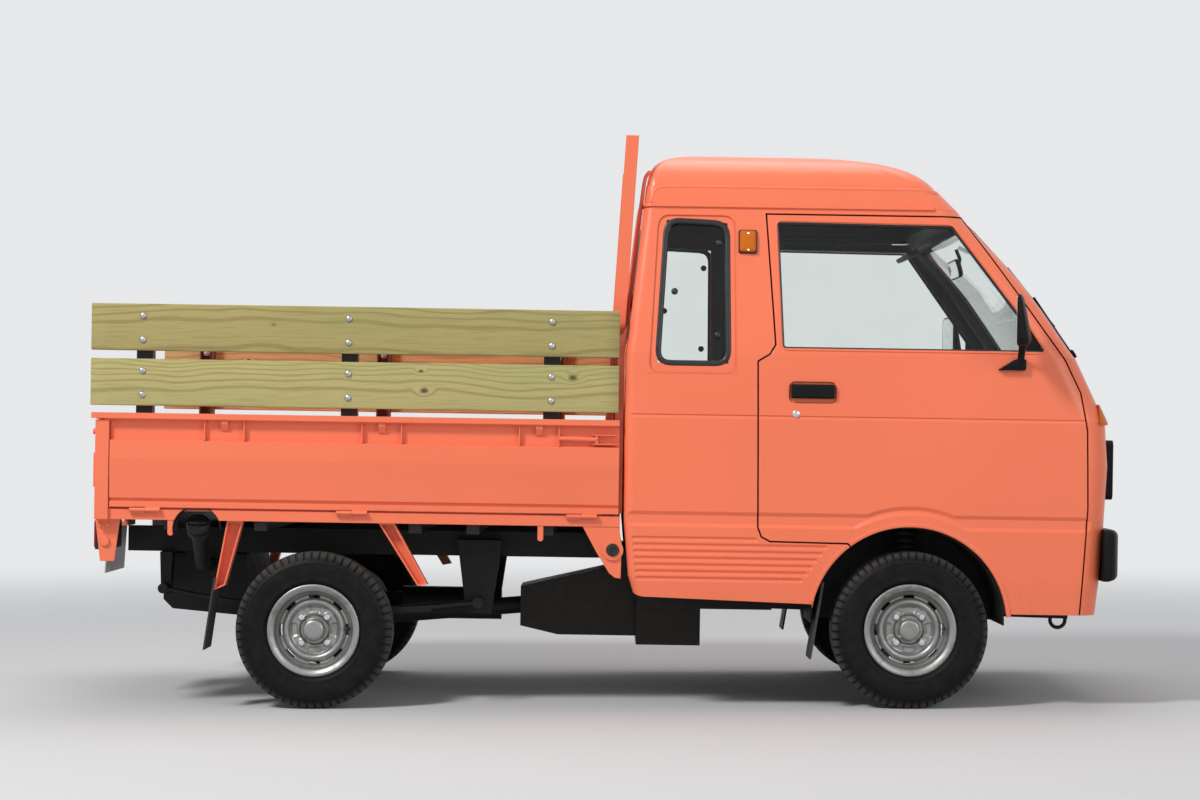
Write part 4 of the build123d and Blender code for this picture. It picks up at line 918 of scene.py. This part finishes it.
disc_line = smooth_line(disc_points, 2.6)
turn = np.arange(disc_columns) * 2 * math.pi / disc_columns
reach = np.repeat(disc_line[:, 1][:, None], disc_columns, 1)
half_window, half_slot = math.pi / windows, math.pi / slots
from_axis = np.abs((turn + half_window) % (2 * half_window) - half_window)
window = step_up(reach, *window_inner) * (1 - step_up(reach, *window_outer))
window = window * (1 - step_up(from_axis, *window_turn))
nut_sides = reach * np.cos(from_axis) - nut_offset, reach * np.sin(from_axis) - nut_offset
pad = 1 - step_up(np.hypot(*nut_sides), *pad_edge)
pad = pad_height * pad * (reach > pad_inner) * (reach < pad_outer)
disc_out = disc_line[:, 0][:, None] - window_depth * window + pad
disc_rings = np.stack([disc_out, reach * np.sin(turn), reach * np.cos(turn)], -1)
disc_faces = grid_faces(len(disc_line), disc_columns, around=True)
slot_turn = np.abs((turn + math.pi / disc_columns + half_slot) % (2 * half_slot) - half_slot)
row_reach = (disc_line[:-1, 1] + disc_line[1:, 1]) / 2
slot_rows = (row_reach > slot_inner) & (row_reach < slot_outer)
slotted = slot_rows[:, None] & (slot_turn < slot_half_turn)[None]
disc_faces = disc_faces[~slotted.ravel()]
barrel_line = smooth_line(barrel_points, 5)
barrel_rings = turned(barrel_line, [(0, 0, 0)], x_axis, barrel_columns)[0]
barrel_faces = grid_faces(len(barrel_line), barrel_columns, around=True) + disc_rings.size // 3
rim_points = np.vstack([disc_rings.reshape(-1, 3), barrel_rings.reshape(-1, 3)])
rim_faces = np.vstack([disc_faces, barrel_faces]).tolist()

cap_line = [
    (12, 35), (17, 36.5), (20, 36), (21, 34.5), (30, 34), (47, 33), (51, 31.5), (53.6, 28),
    (54.6, 22), (55, 12), (55.2, 1),
]
washer_line = [(19, 13.5), (22.5, 13), (24.5, 11), (26, 9.8), (26.5, 1)]
nut_line = [(23, 10.6), (33, 10.6), (35, 9), (35.4, 6)]
valve_line = [(-6, 6), (4, 5.4), (6, 3.4), (20, 3.2), (21, 4.4), (31, 4.2), (33, 2), (33.2, 0.6)]
nuts = [(0, ahead * nut_offset, up * nut_offset) for ahead in (-1, 1) for up in (-1, 1)]
hub, valve = [(0, 0, 0)], [(25, 113, 4)]
wheel_parts = [
    ("hub_cap_", cap_line, hub, x_axis, 64, 40, silver.material),
    ("nut_seats_", washer_line, nuts, x_axis, 24, 40, chrome),
    ("wheel_nuts_", nut_line, nuts, x_axis, 6, 20, chrome),
    ("tyre_valve_", valve_line, valve, (0.93, -0.36, 0), 20, 40, seal_rubber),
]
for axle, x in (("front", 0), ("rear", -1850)):
    for side, sign in sides.items():
        corner = axle + "_" + side
        body = "wheel_" + corner
        rings = wheel_place(tyre_rings, x, sign)
        tyre = ring_loft("radial_tyre_" + corner, rings, closed=True, sharp=32)
        tread = tyre.data.attributes.new("tread", "FLOAT", "POINT")
        tread.data.foreach_set("value", dusty.ravel())
        finish(tyre, rubber.material, body, ["tyre_" + corner])
        rim = lay_mesh("pressed_wheel_" + corner, wheel_place(rim_points, x, sign), rim_faces, 35)
        wall = rim.modifiers.new("sheet_steel", "SOLIDIFY")
        wall.thickness = sheet_steel
        wall.offset = 0
        finish(rim, silver.material, body, ["rim_" + corner])
        for name, line, centres, axis, steps, sharp, material in wheel_parts:
            stacks = wheel_place(turned(line, centres, axis, steps), x, sign)
            finish(many_lofts(name + corner, stacks, sharp), material, body)


# Seats
# A flat foam cushion, an upright back and a headrest on two steel stalks for each place, in grey
# woven cloth and vinyl. The cushions are blown up a little in a cloth simulation.

def stuffed(name, outline, middle_y, half, inset, cap, voxel):
    """Padded block over an (x, z) outline drawn in by the inset: remeshed, blown up by a pressure
    cloth simulation, each point held to the cap, and smoothed by one subdivision."""
    outline = soft_corners(outline, 22, 4)
    centre = outline.mean(0)
    flat = centre + (outline - centre) * (1 - inset / np.abs(outline - centre).max(0))
    rings = [upright(flat, middle_y + y) for y in np.linspace(-half + inset, half - inset, 9)]
    pad = body_loft(name, rings)
    bpy.context.view_layer.objects.active = pad
    mesh_step = pad.modifiers.new("even_mesh", "REMESH")
    mesh_step.mode = "VOXEL"
    mesh_step.voxel_size = voxel
    bpy.ops.object.modifier_apply(modifier=mesh_step.name)
    start = np.empty(len(pad.data.vertices) * 3)
    pad.data.vertices.foreach_get("co", start)
    cloth = pad.modifiers.new("filling", "CLOTH")
    cloth.settings.use_pressure = True
    cloth.settings.uniform_pressure_force = 4
    cloth.settings.effector_weights.gravity = 0
    for frame_number in range(1, 21):
        bpy.context.scene.frame_set(frame_number)
    bpy.ops.object.modifier_apply(modifier=cloth.name)
    bpy.context.scene.frame_set(1)
    end = np.empty_like(start)
    pad.data.vertices.foreach_get("co", end)
    move = (end - start).reshape(-1, 3)
    length = np.linalg.norm(move, axis=1)[:, None]
    move *= np.minimum(1, cap / np.maximum(length, 1e-9))
    pad.data.vertices.foreach_set("co", start + move.ravel())
    rounder = pad.modifiers.new("soft_form", "SUBSURF")
    rounder.levels = rounder.render_levels = 1
    bpy.ops.object.modifier_apply(modifier=rounder.name)
    pad.data.polygons.foreach_set("use_smooth", np.ones(len(pad.data.polygons), bool))
    return pad


cloth_grey, thread = (0.165, 0.165, 0.175), 150.0
weave = Finish("seat_cloth", Roughness=0.9, Sheen_Weight=0.25)
threads = weave.maths("MULTIPLY", *[weave.bands(way, thread, 0.6) for way in ("Y", "DIAGONAL")])
blotch = weave.maths("MULTIPLY", weave.noise(14.0, 5.0), 0.6)
share = weave.maths("ADD", blotch, weave.maths("MULTIPLY", threads, 0.4))
weave.give(Base_Color=weave.mixed(share, tint(cloth_grey, 0.62), tint(cloth_grey, 1.3)))
weave.relief(threads, 0.4, 0.0008)
seat_vinyl = dark_finish("seat_vinyl", (0.045, 0.045, 0.048), 0.6, 420.0, 0.2)

cushion_outline = [(-430, 642), (40, 642), (60, 700), (40, 762), (-410, 738), (-440, 690)]
back_outline = [(-430, 745), (-352, 748), (-428, 1180), (-450, 1213), (-490, 1213), (-518, 1160)]
headrest_outline = [(-505, 1230), (-440, 1230), (-448, 1374), (-463, 1390), (-502, 1386)]
seat_y = 325
seat_parts = [
    ("seat_cushion", cushion_outline, 238, 20, 0.018, 0.012, weave.material),
    ("seat_back", back_outline, 238, 15, 0.013, 0.012, weave.material),
    ("headrest", headrest_outline, 124, 10, 0.009, 0.008, seat_vinyl),
]
for part, outline, half, inset, cap, voxel, cover in seat_parts:
    right_pad = stuffed(part + "_right", outline, -seat_y, half, inset, cap, voxel)
    points = np.empty(len(right_pad.data.vertices) * 3)
    right_pad.data.vertices.foreach_get("co", points)
    faces = [tuple(face.vertices) for face in right_pad.data.polygons]
    left_pad = lay_mesh(part + "_left", points.reshape(-1, 3) * (1, -1, 1), faces, 80)
    for pad in (right_pad, left_pad):
        finish(pad, cover, stands_for=["seats"])
stalk_feet = [(-474, sign * seat_y + spread, 1195) for sign in (-1, 1) for spread in (-45, 45)]
finish(turned_parts("headrest_stalks", [(0, 6), (60, 6)], stalk_feet, (0.03, 0, 1), 16), chrome)


# Cab fittings
# Interior mirror and sun visors under the windscreen header, door cards with armrest, handle and
# window winder, and the gear and parking brake levers with moulded knobs.

mirror_middle, mirror_look = (205, -8, 1405), np.array([0.96, 0, 0.26])
shell_shape = mirror_look, (210, 62, 14), 20, 9, 3
finish(moulded_block("inner_mirror_shell", mirror_middle, y_axis, *shell_shape), black_plastic)
face_shape = -mirror_look, (200, 53, 2), 17, 0.8
finish(moulded_block("inner_mirror_glass", mirror_middle, y_axis, *face_shape), mirror_face)
stalk_way = [(214, -8, 1408), (226, -8, 1440), (212, -8, 1474)]
finish(rod_along("inner_mirror_stalk", stalk_way, 6, y_axis, 6), black_plastic)
card_corners = [
    (-425, 1085), (400, 1085), (470, 960), (455, 640), (250, 560), (-150, 560), (-425, 590),
]
card_outline = soft_corners(card_corners, 40, 6)
winder_way = [(90, 639, 760), (90, 622, 760), (120, 612, 730), (168, 610, 700)]
knob_line = [(-6, 9), (6, 10), (20, 11), (26, 8), (27, 2)]
for side, sign in sides.items():
    body = "door_" + side
    inward = (0, -sign, 0)
    visor_shape = y_axis, (0.42, 0, -0.9), (400, 120, 16), 24, 7, 1
    visor = moulded_block("sun_visor_" + side, (120, sign * 300, 1494), *visor_shape)
    finish(visor, seat_vinyl)
    card_rings = [upright(card_outline, sign * y) for y in (650, 644, 640)]
    card_middle = card_rings[2].mean(0)
    card_rings[2] = (card_rings[2] - card_middle) * 0.985 + card_middle
    finish(body_loft("door_card_" + side, card_rings), seat_vinyl, body)
    rest_place, rest_shape = (-120, sign * 640, 850), ((300, 52, 44), 20, 16, 2)
    rest = moulded_block("door_armrest_" + side, rest_place, x_axis, inward, *rest_shape)
    finish(rest, black_plastic, body)
    pull_place, pull_shape = (230, sign * 640, 905), ((92, 34, 16), 12, 6, 1)
    pull = moulded_block("inner_handle_" + side, pull_place, x_axis, inward, *pull_shape)
    finish(pull, chrome, body)
    way = np.array(winder_way) * (1, sign, 1)
    winder = rod_along("window_winder_" + side, way, 7, (0.35, 0.1, 0.93), (8, 6))
    finish(winder, black_plastic, body)
    knob_place = [(166, sign * 612, 702)]
    knob = turned_parts("winder_knob_" + side, knob_line, knob_place, inward, 24)
    finish(knob, black_plastic, body)
lever_ways = {
    "gear_lever": [(210, -20, 632), (200, -20, 760), (150, -25, 870), (132, -30, 905)],
    "parking_brake_lever": [(20, -55, 634), (40, -55, 700), (150, -55, 790), (210, -55, 825)],
}
grip_line = [(-26, 7), (-22, 11), (0, 13), (14, 15), (24, 13), (30, 7), (31, 2)]
for name, way in lever_ways.items():
    finish(rod_along(name, way, 8, y_axis, 6.5), black_plastic)
    direction = np.subtract(way[-1], way[-2])
    finish(turned_parts(name + "_grip", grip_line, [way[-1]], direction, 24), black_plastic)


# Side boards and stakes
# Two pine planks a side, green-treated on the right and fresh on the left, bolted with plated
# carriage bolts through square tube stakes that stand inside the gates.

ring_step, knot_push = 0.0105, 0.011


def timber(name, early, late, heart, knots):
    """Sawn pine. Rings are even steps of the distance from the log's heart line, which wanders
    along the board. Round a knot they are pushed aside, and the knot itself is dark."""
    wood = Finish(name, Roughness=0.78, Specular_IOR_Level=0.25)
    x, y, z = wood.axes()
    sway = wood.noise(1.0, 3.0, 0.55, (1.1, 3.0, 3.0), (heart[0] * 7, 0, 0))
    wander = wood.maths("MULTIPLY", wood.maths("SUBTRACT", sway, 0.5), 0.16)

    def distance(first, second):
        squares = [wood.maths("POWER", side, 2.0) for side in (first, second)]
        return wood.maths("SQRT", wood.maths("ADD", *squares))

    tall = wood.maths("ADD", wood.maths("SUBTRACT", z, heart[1]), wander)
    ring = distance(wood.maths("SUBTRACT", y, heart[0]), tall)
    spots = []
    for knot_x, knot_z, size in knots:
        along = wood.maths("MULTIPLY", wood.maths("SUBTRACT", x, knot_x), 0.62)
        away = distance(along, wood.maths("SUBTRACT", z, knot_z))
        ring = wood.maths("ADD", ring, wood.span(away, 0.1 * size, 2.6 * size, knot_push, 0.0))
        spots.append(wood.span(away, 0.25 * size, 1.05 * size, 0.9, 0.0))
    wave = wood.maths("SINE", wood.maths("MULTIPLY", ring, 2 * math.pi / ring_step))
    late_wood = wood.maths("MULTIPLY", wood.span(wave, 0.15, 0.98), 0.62)
    shade = wood.mixed(late_wood, early, late)
    fibre = wood.noise(1.0, 4.0, 0.7, (7, 260, 260))
    dark_fibre = wood.maths("MULTIPLY", wood.span(fibre, 0.46, 0.74), 0.42)
    shade = wood.mixed(dark_fibre, shade, tint(late, 0.58))
    stain = wood.noise(1.0, 5.0, 0.5, (1.6, 9, 9))
    stained = wood.maths("MULTIPLY", wood.span(stain, 0.42, 0.72), 0.45)
    shade = wood.mixed(stained, shade, (early[0] * 0.70, early[1] * 0.84, early[2] * 0.80))
    dark_knot = wood.maths("MAXIMUM", *spots) if len(spots) > 1 else spots[0]
    wood.give(Base_Color=wood.mixed(dark_knot, shade, (0.085, 0.047, 0.018)))
    late_rise = wood.maths("MULTIPLY", late_wood, 0.7)
    height = wood.maths("ADD", late_rise, wood.maths("MULTIPLY", fibre, 0.6))
    wood.relief(height, 0.35, 0.0012)
    return wood.material


board_rear, board_front = -2545, -914
board_tall, board_thick, board_face = 146, 38, 693
end_gap, end_chamfer, edge_radius = 0.4, 2.0, 3.2
board_lows = {"lower": 903, "upper": 1073}
treated = [
    ((0.445, 0.385, 0.160), (0.265, 0.210, 0.080)), ((0.385, 0.320, 0.127), (0.235, 0.182, 0.066)),
]
fresh = ((0.56, 0.33, 0.14), (0.36, 0.17, 0.065))
board_knots = {
    "lower_right": [(-0.556, 0.986, 0.011), (-0.566, 1.047, 0.007), (-0.097, 1.026, 0.012)],
    "upper_right": [(-1.02, 1.190, 0.004)],
    "lower_left": [(-0.89, 1.01, 0.010)],
    "upper_left": [(-0.35, 1.17, 0.009), (-1.28, 1.12, 0.006)],
}
end_cut = end_gap + end_chamfer
middle_stations = np.linspace(board_rear + end_cut, board_front - end_cut, 34)
stations = np.r_[board_rear + end_gap, middle_stations, board_front - end_gap]
saw_cut = np.zeros(len(stations))
saw_cut[[0, -1]] = end_chamfer
for side, sign in sides.items():
    for row, (level, low_edge) in enumerate(board_lows.items()):
        name = level + "_" + side
        along = (stations - board_rear) / (board_front - board_rear)
        cup = 0.6 * (1 + np.sin(along * (5.1 + row) + 3 * row + sign))
        rings = []
        for x, cut, thin in zip(stations, saw_cut, cup):
            less = 2 * cut + thin
            y, z = rounded_ring(board_thick - less, board_tall - 1 - less, edge_radius, 4).T
            y = y + sign * (board_face - board_thick / 2 - thin / 2)
            rings.append(np.stack([np.full_like(y, x), y, z + low_edge + board_tall / 2], 1))
        board = body_loft("plank_" + name, rings, sharp=50)
        heart_z = 0.955 + 0.19 * row if sign < 0 else 1.02 + 0.16 * row
        early, late = treated[row] if side == "right" else fresh
        heart = (sign * (0.60 - 0.03 * row), heart_z)
        pine = timber("pine_" + name, early, late, heart, board_knots[name])
        finish(board, pine, "gate_" + side, ["boards_" + side])

galvanised = bright_metal("galvanised_steel", (0.46, 0.46, 0.47), 0.30, 120.0)
stake_x, bolt_rises, stake_inside = (-2385, -1750, -1123), (34, 108), 605.2
bolts = [(x, low + rise) for x in stake_x for low in board_lows.values() for rise in bolt_rises]
bolt_dome = [(-3, 10.6), (0.8, 10.6), (2.6, 9.8), (4.6, 7.6), (5.8, 4.6), (6.3, 1.2)]
inner_parts = [
    ("washers", [(0, 11), (2, 11), (2.1, 8.6)], 28),
    ("nuts", [(1.6, 8.8), (9, 8.8), (9.6, 7)], 6),
    ("threads", [(2, 4.8), (16, 4.8), (17, 3.6)], 14),
]
for side, sign in sides.items():
    body = "gate_" + side
    outer = upright(bolts, sign * (board_face - 0.6))
    domes = turned_parts("board_bolts_" + side, bolt_dome, outer, (0, sign, 0), 28)
    finish(domes, galvanised, body)
    inner = upright(bolts, sign * stake_inside)
    for part, line, steps in inner_parts:
        name, inward = "board_%s_%s" % (part, side), (0, -sign, 0)
        finish(turned_parts(name, line, inner, inward, steps, 30), galvanised, body)
# The right stakes stand in the shade of the boards over them, and their dark purple-grey is that
# painted shade. The left stakes are red oxide.
dress(["stakes_right"], dark_finish("stake_steel_painted_shade", (0.040, 0.032, 0.036), 0.42, 60.0, 0.2))
dress(["stakes_left"], dark_finish("red_oxide_steel", (0.150, 0.042, 0.026), 0.5, 60.0, 0.2))


# Headboard flanges, window bars and filler arches
# A flange plate at each end of the headboard and two round bars before the rear window, welded
# to the guard frame, and a bent sheet that closes each notch in the bed's edge over the filler.

def cut_sheet(name, outline, sign, near, far):
    """Flat piece of an (x, z) outline between two distances from the middle."""
    return body_loft(name, [upright(outline, sign * y) for y in (near, far)])


flange_outline = [
    (-934, 592), (-898.5, 592), (-898.5, 1085), (-889, 1180), (-905, 1150), (-918, 1145),
]
for side, sign in sides.items():
    finish(cut_sheet("headboard_flange_" + side, flange_outline, sign, 645, 648), bed_paint)

window_bar_line = [
    (-901, 1110), (-893, 1180), (-885, 1260), (-876, 1342), (-862.5, 1472), (-853.5, 1553),
    (-846, 1616), (-841, 1642), (-834, 1655), (-824, 1661),
]
notch_turn = np.linspace(0.06, math.pi - 0.06, 33)
notch_sides = [
    np.stack([r * np.cos(notch_turn), np.minimum(r * np.sin(notch_turn), r - 10)], 1)
    for r in (74.6, 72.6)
]
notch_outline = np.vstack([notch_sides[0], notch_sides[1][::-1]]) + (-2213, 522)
for side, sign in sides.items():
    way = upright(window_bar_line, sign * 575)
    finish(rod_along("window_bar_" + side, way, 9, y_axis, (6, 6)), bed_paint)
    finish(cut_sheet("filler_arch_" + side, notch_outline, sign, 633, 679), underbody_black)


# Rear lamps, plate, fuel filler and small underbody rubber
# Three-part rear lamps under the bed's sill, a blank plate on its carrier, a black screwed
# filler cap, the flaps of ribbed rubber behind the wheels and a bush at the bed's front bracket.

dress(["rear_lamps"], dark_finish("lamp_housing", (0.018, 0.018, 0.019), 0.42, 300.0, 0.08))
red_lens = lens_plastic("red_lens", (0.55, 0.012, 0.010), 60.0, "Y")
clear_lens = lens_plastic("clear_lens", (0.80, 0.80, 0.78), 60.0, "Y")
lens_table = [
    ("stop", 588, 84, red_lens), ("turn", 500, 84, amber_lens), ("reverse", 429, 50, clear_lens),
]
for side, sign in sides.items():
    for part, middle_y, wide, material in lens_table:
        name, place = "rear_%s_lens_%s" % (part, side), (-2534.7, sign * middle_y, 503)
        finish(moulded_block(name, place, y_axis, (-1, 0, 0), (wide, 84, 4.4), 5, 1.8), material)

plate = Finish("blank_plate_finish", Roughness=0.4)
plate_tone = plate.mixed(plate.noise(22.0, 5.0), (0.48, 0.48, 0.455), (0.62, 0.62, 0.60))
above = plate.maths("GREATER_THAN", plate.axes()[2], 0.5525)
plate.give(Base_Color=plate.mixed(above, plate_tone, bed_coral))
dress(["plate_carrier"], plate.material)
plate_bolt = [(-1, 7), (1.6, 7), (2.8, 4), (3, 1)]
plate_places = [(-2549.8, -285, 500), (-2549.8, -105, 500)]
finish(turned_parts("plate_bolts", plate_bolt, plate_places, (-1, 0, 0.0556), 20), galvanised)

filler_axis = np.array([1, -24, 16.0])
filler_end = np.array([-2212.2, -651.0, 534.4])
filler_line = [
    (-8, 38.5), (2, 39), (6, 38.4), (8.5, 35), (9, 31), (6, 29), (5.5, 12), (7.5, 10), (7.8, 2),
]
filler_steps, finger_grips = 96, 16
filler_rings = turned(filler_line, [(0, 0, 0)], filler_axis, filler_steps)[0]
grips = np.sign(np.sin(np.arange(filler_steps) * 2 * math.pi / filler_steps * finger_grips))
grip_depth = 0.022 * np.array([1, 1, 1, 0.6, 0, 0, 0, 0, 0])[:, None]
filler_rings = filler_end + filler_rings * np.minimum(1 + grip_depth * grips, 1.0)[..., None]
finish(body_loft("filler_cap", filler_rings, sharp=35), black_plastic)
ear_way = [filler_end + shift for shift in ((-28, -6, 8), (0, -10, 6), (28, -6, 8))]
finish(rod_along("filler_cap_bar", ear_way, 5, filler_axis, (5, 4), sharp=40), black_plastic)

flap = Finish("flap_rubber", Roughness=0.7)
flap_tone = flap.mixed(flap.noise(40.0, 6.0), (0.012, 0.012, 0.012), (0.045, 0.043, 0.040))
flap.give(Base_Color=flap_tone)
flap.relief(flap.bands("Y", 26.0), 0.5, 0.002)
dress(["mud_flaps"], flap.material)
bush_line = [(-14, 19), (0, 19), (2, 17), (2, 9), (-3, 8), (-3, 1)]
for side, sign in sides.items():
    bush_place = [(-926, sign * 688, 480)]
    finish(turned_parts("bracket_bush_" + side, bush_line, bush_place, (0, sign, 0)), seal_rubber)
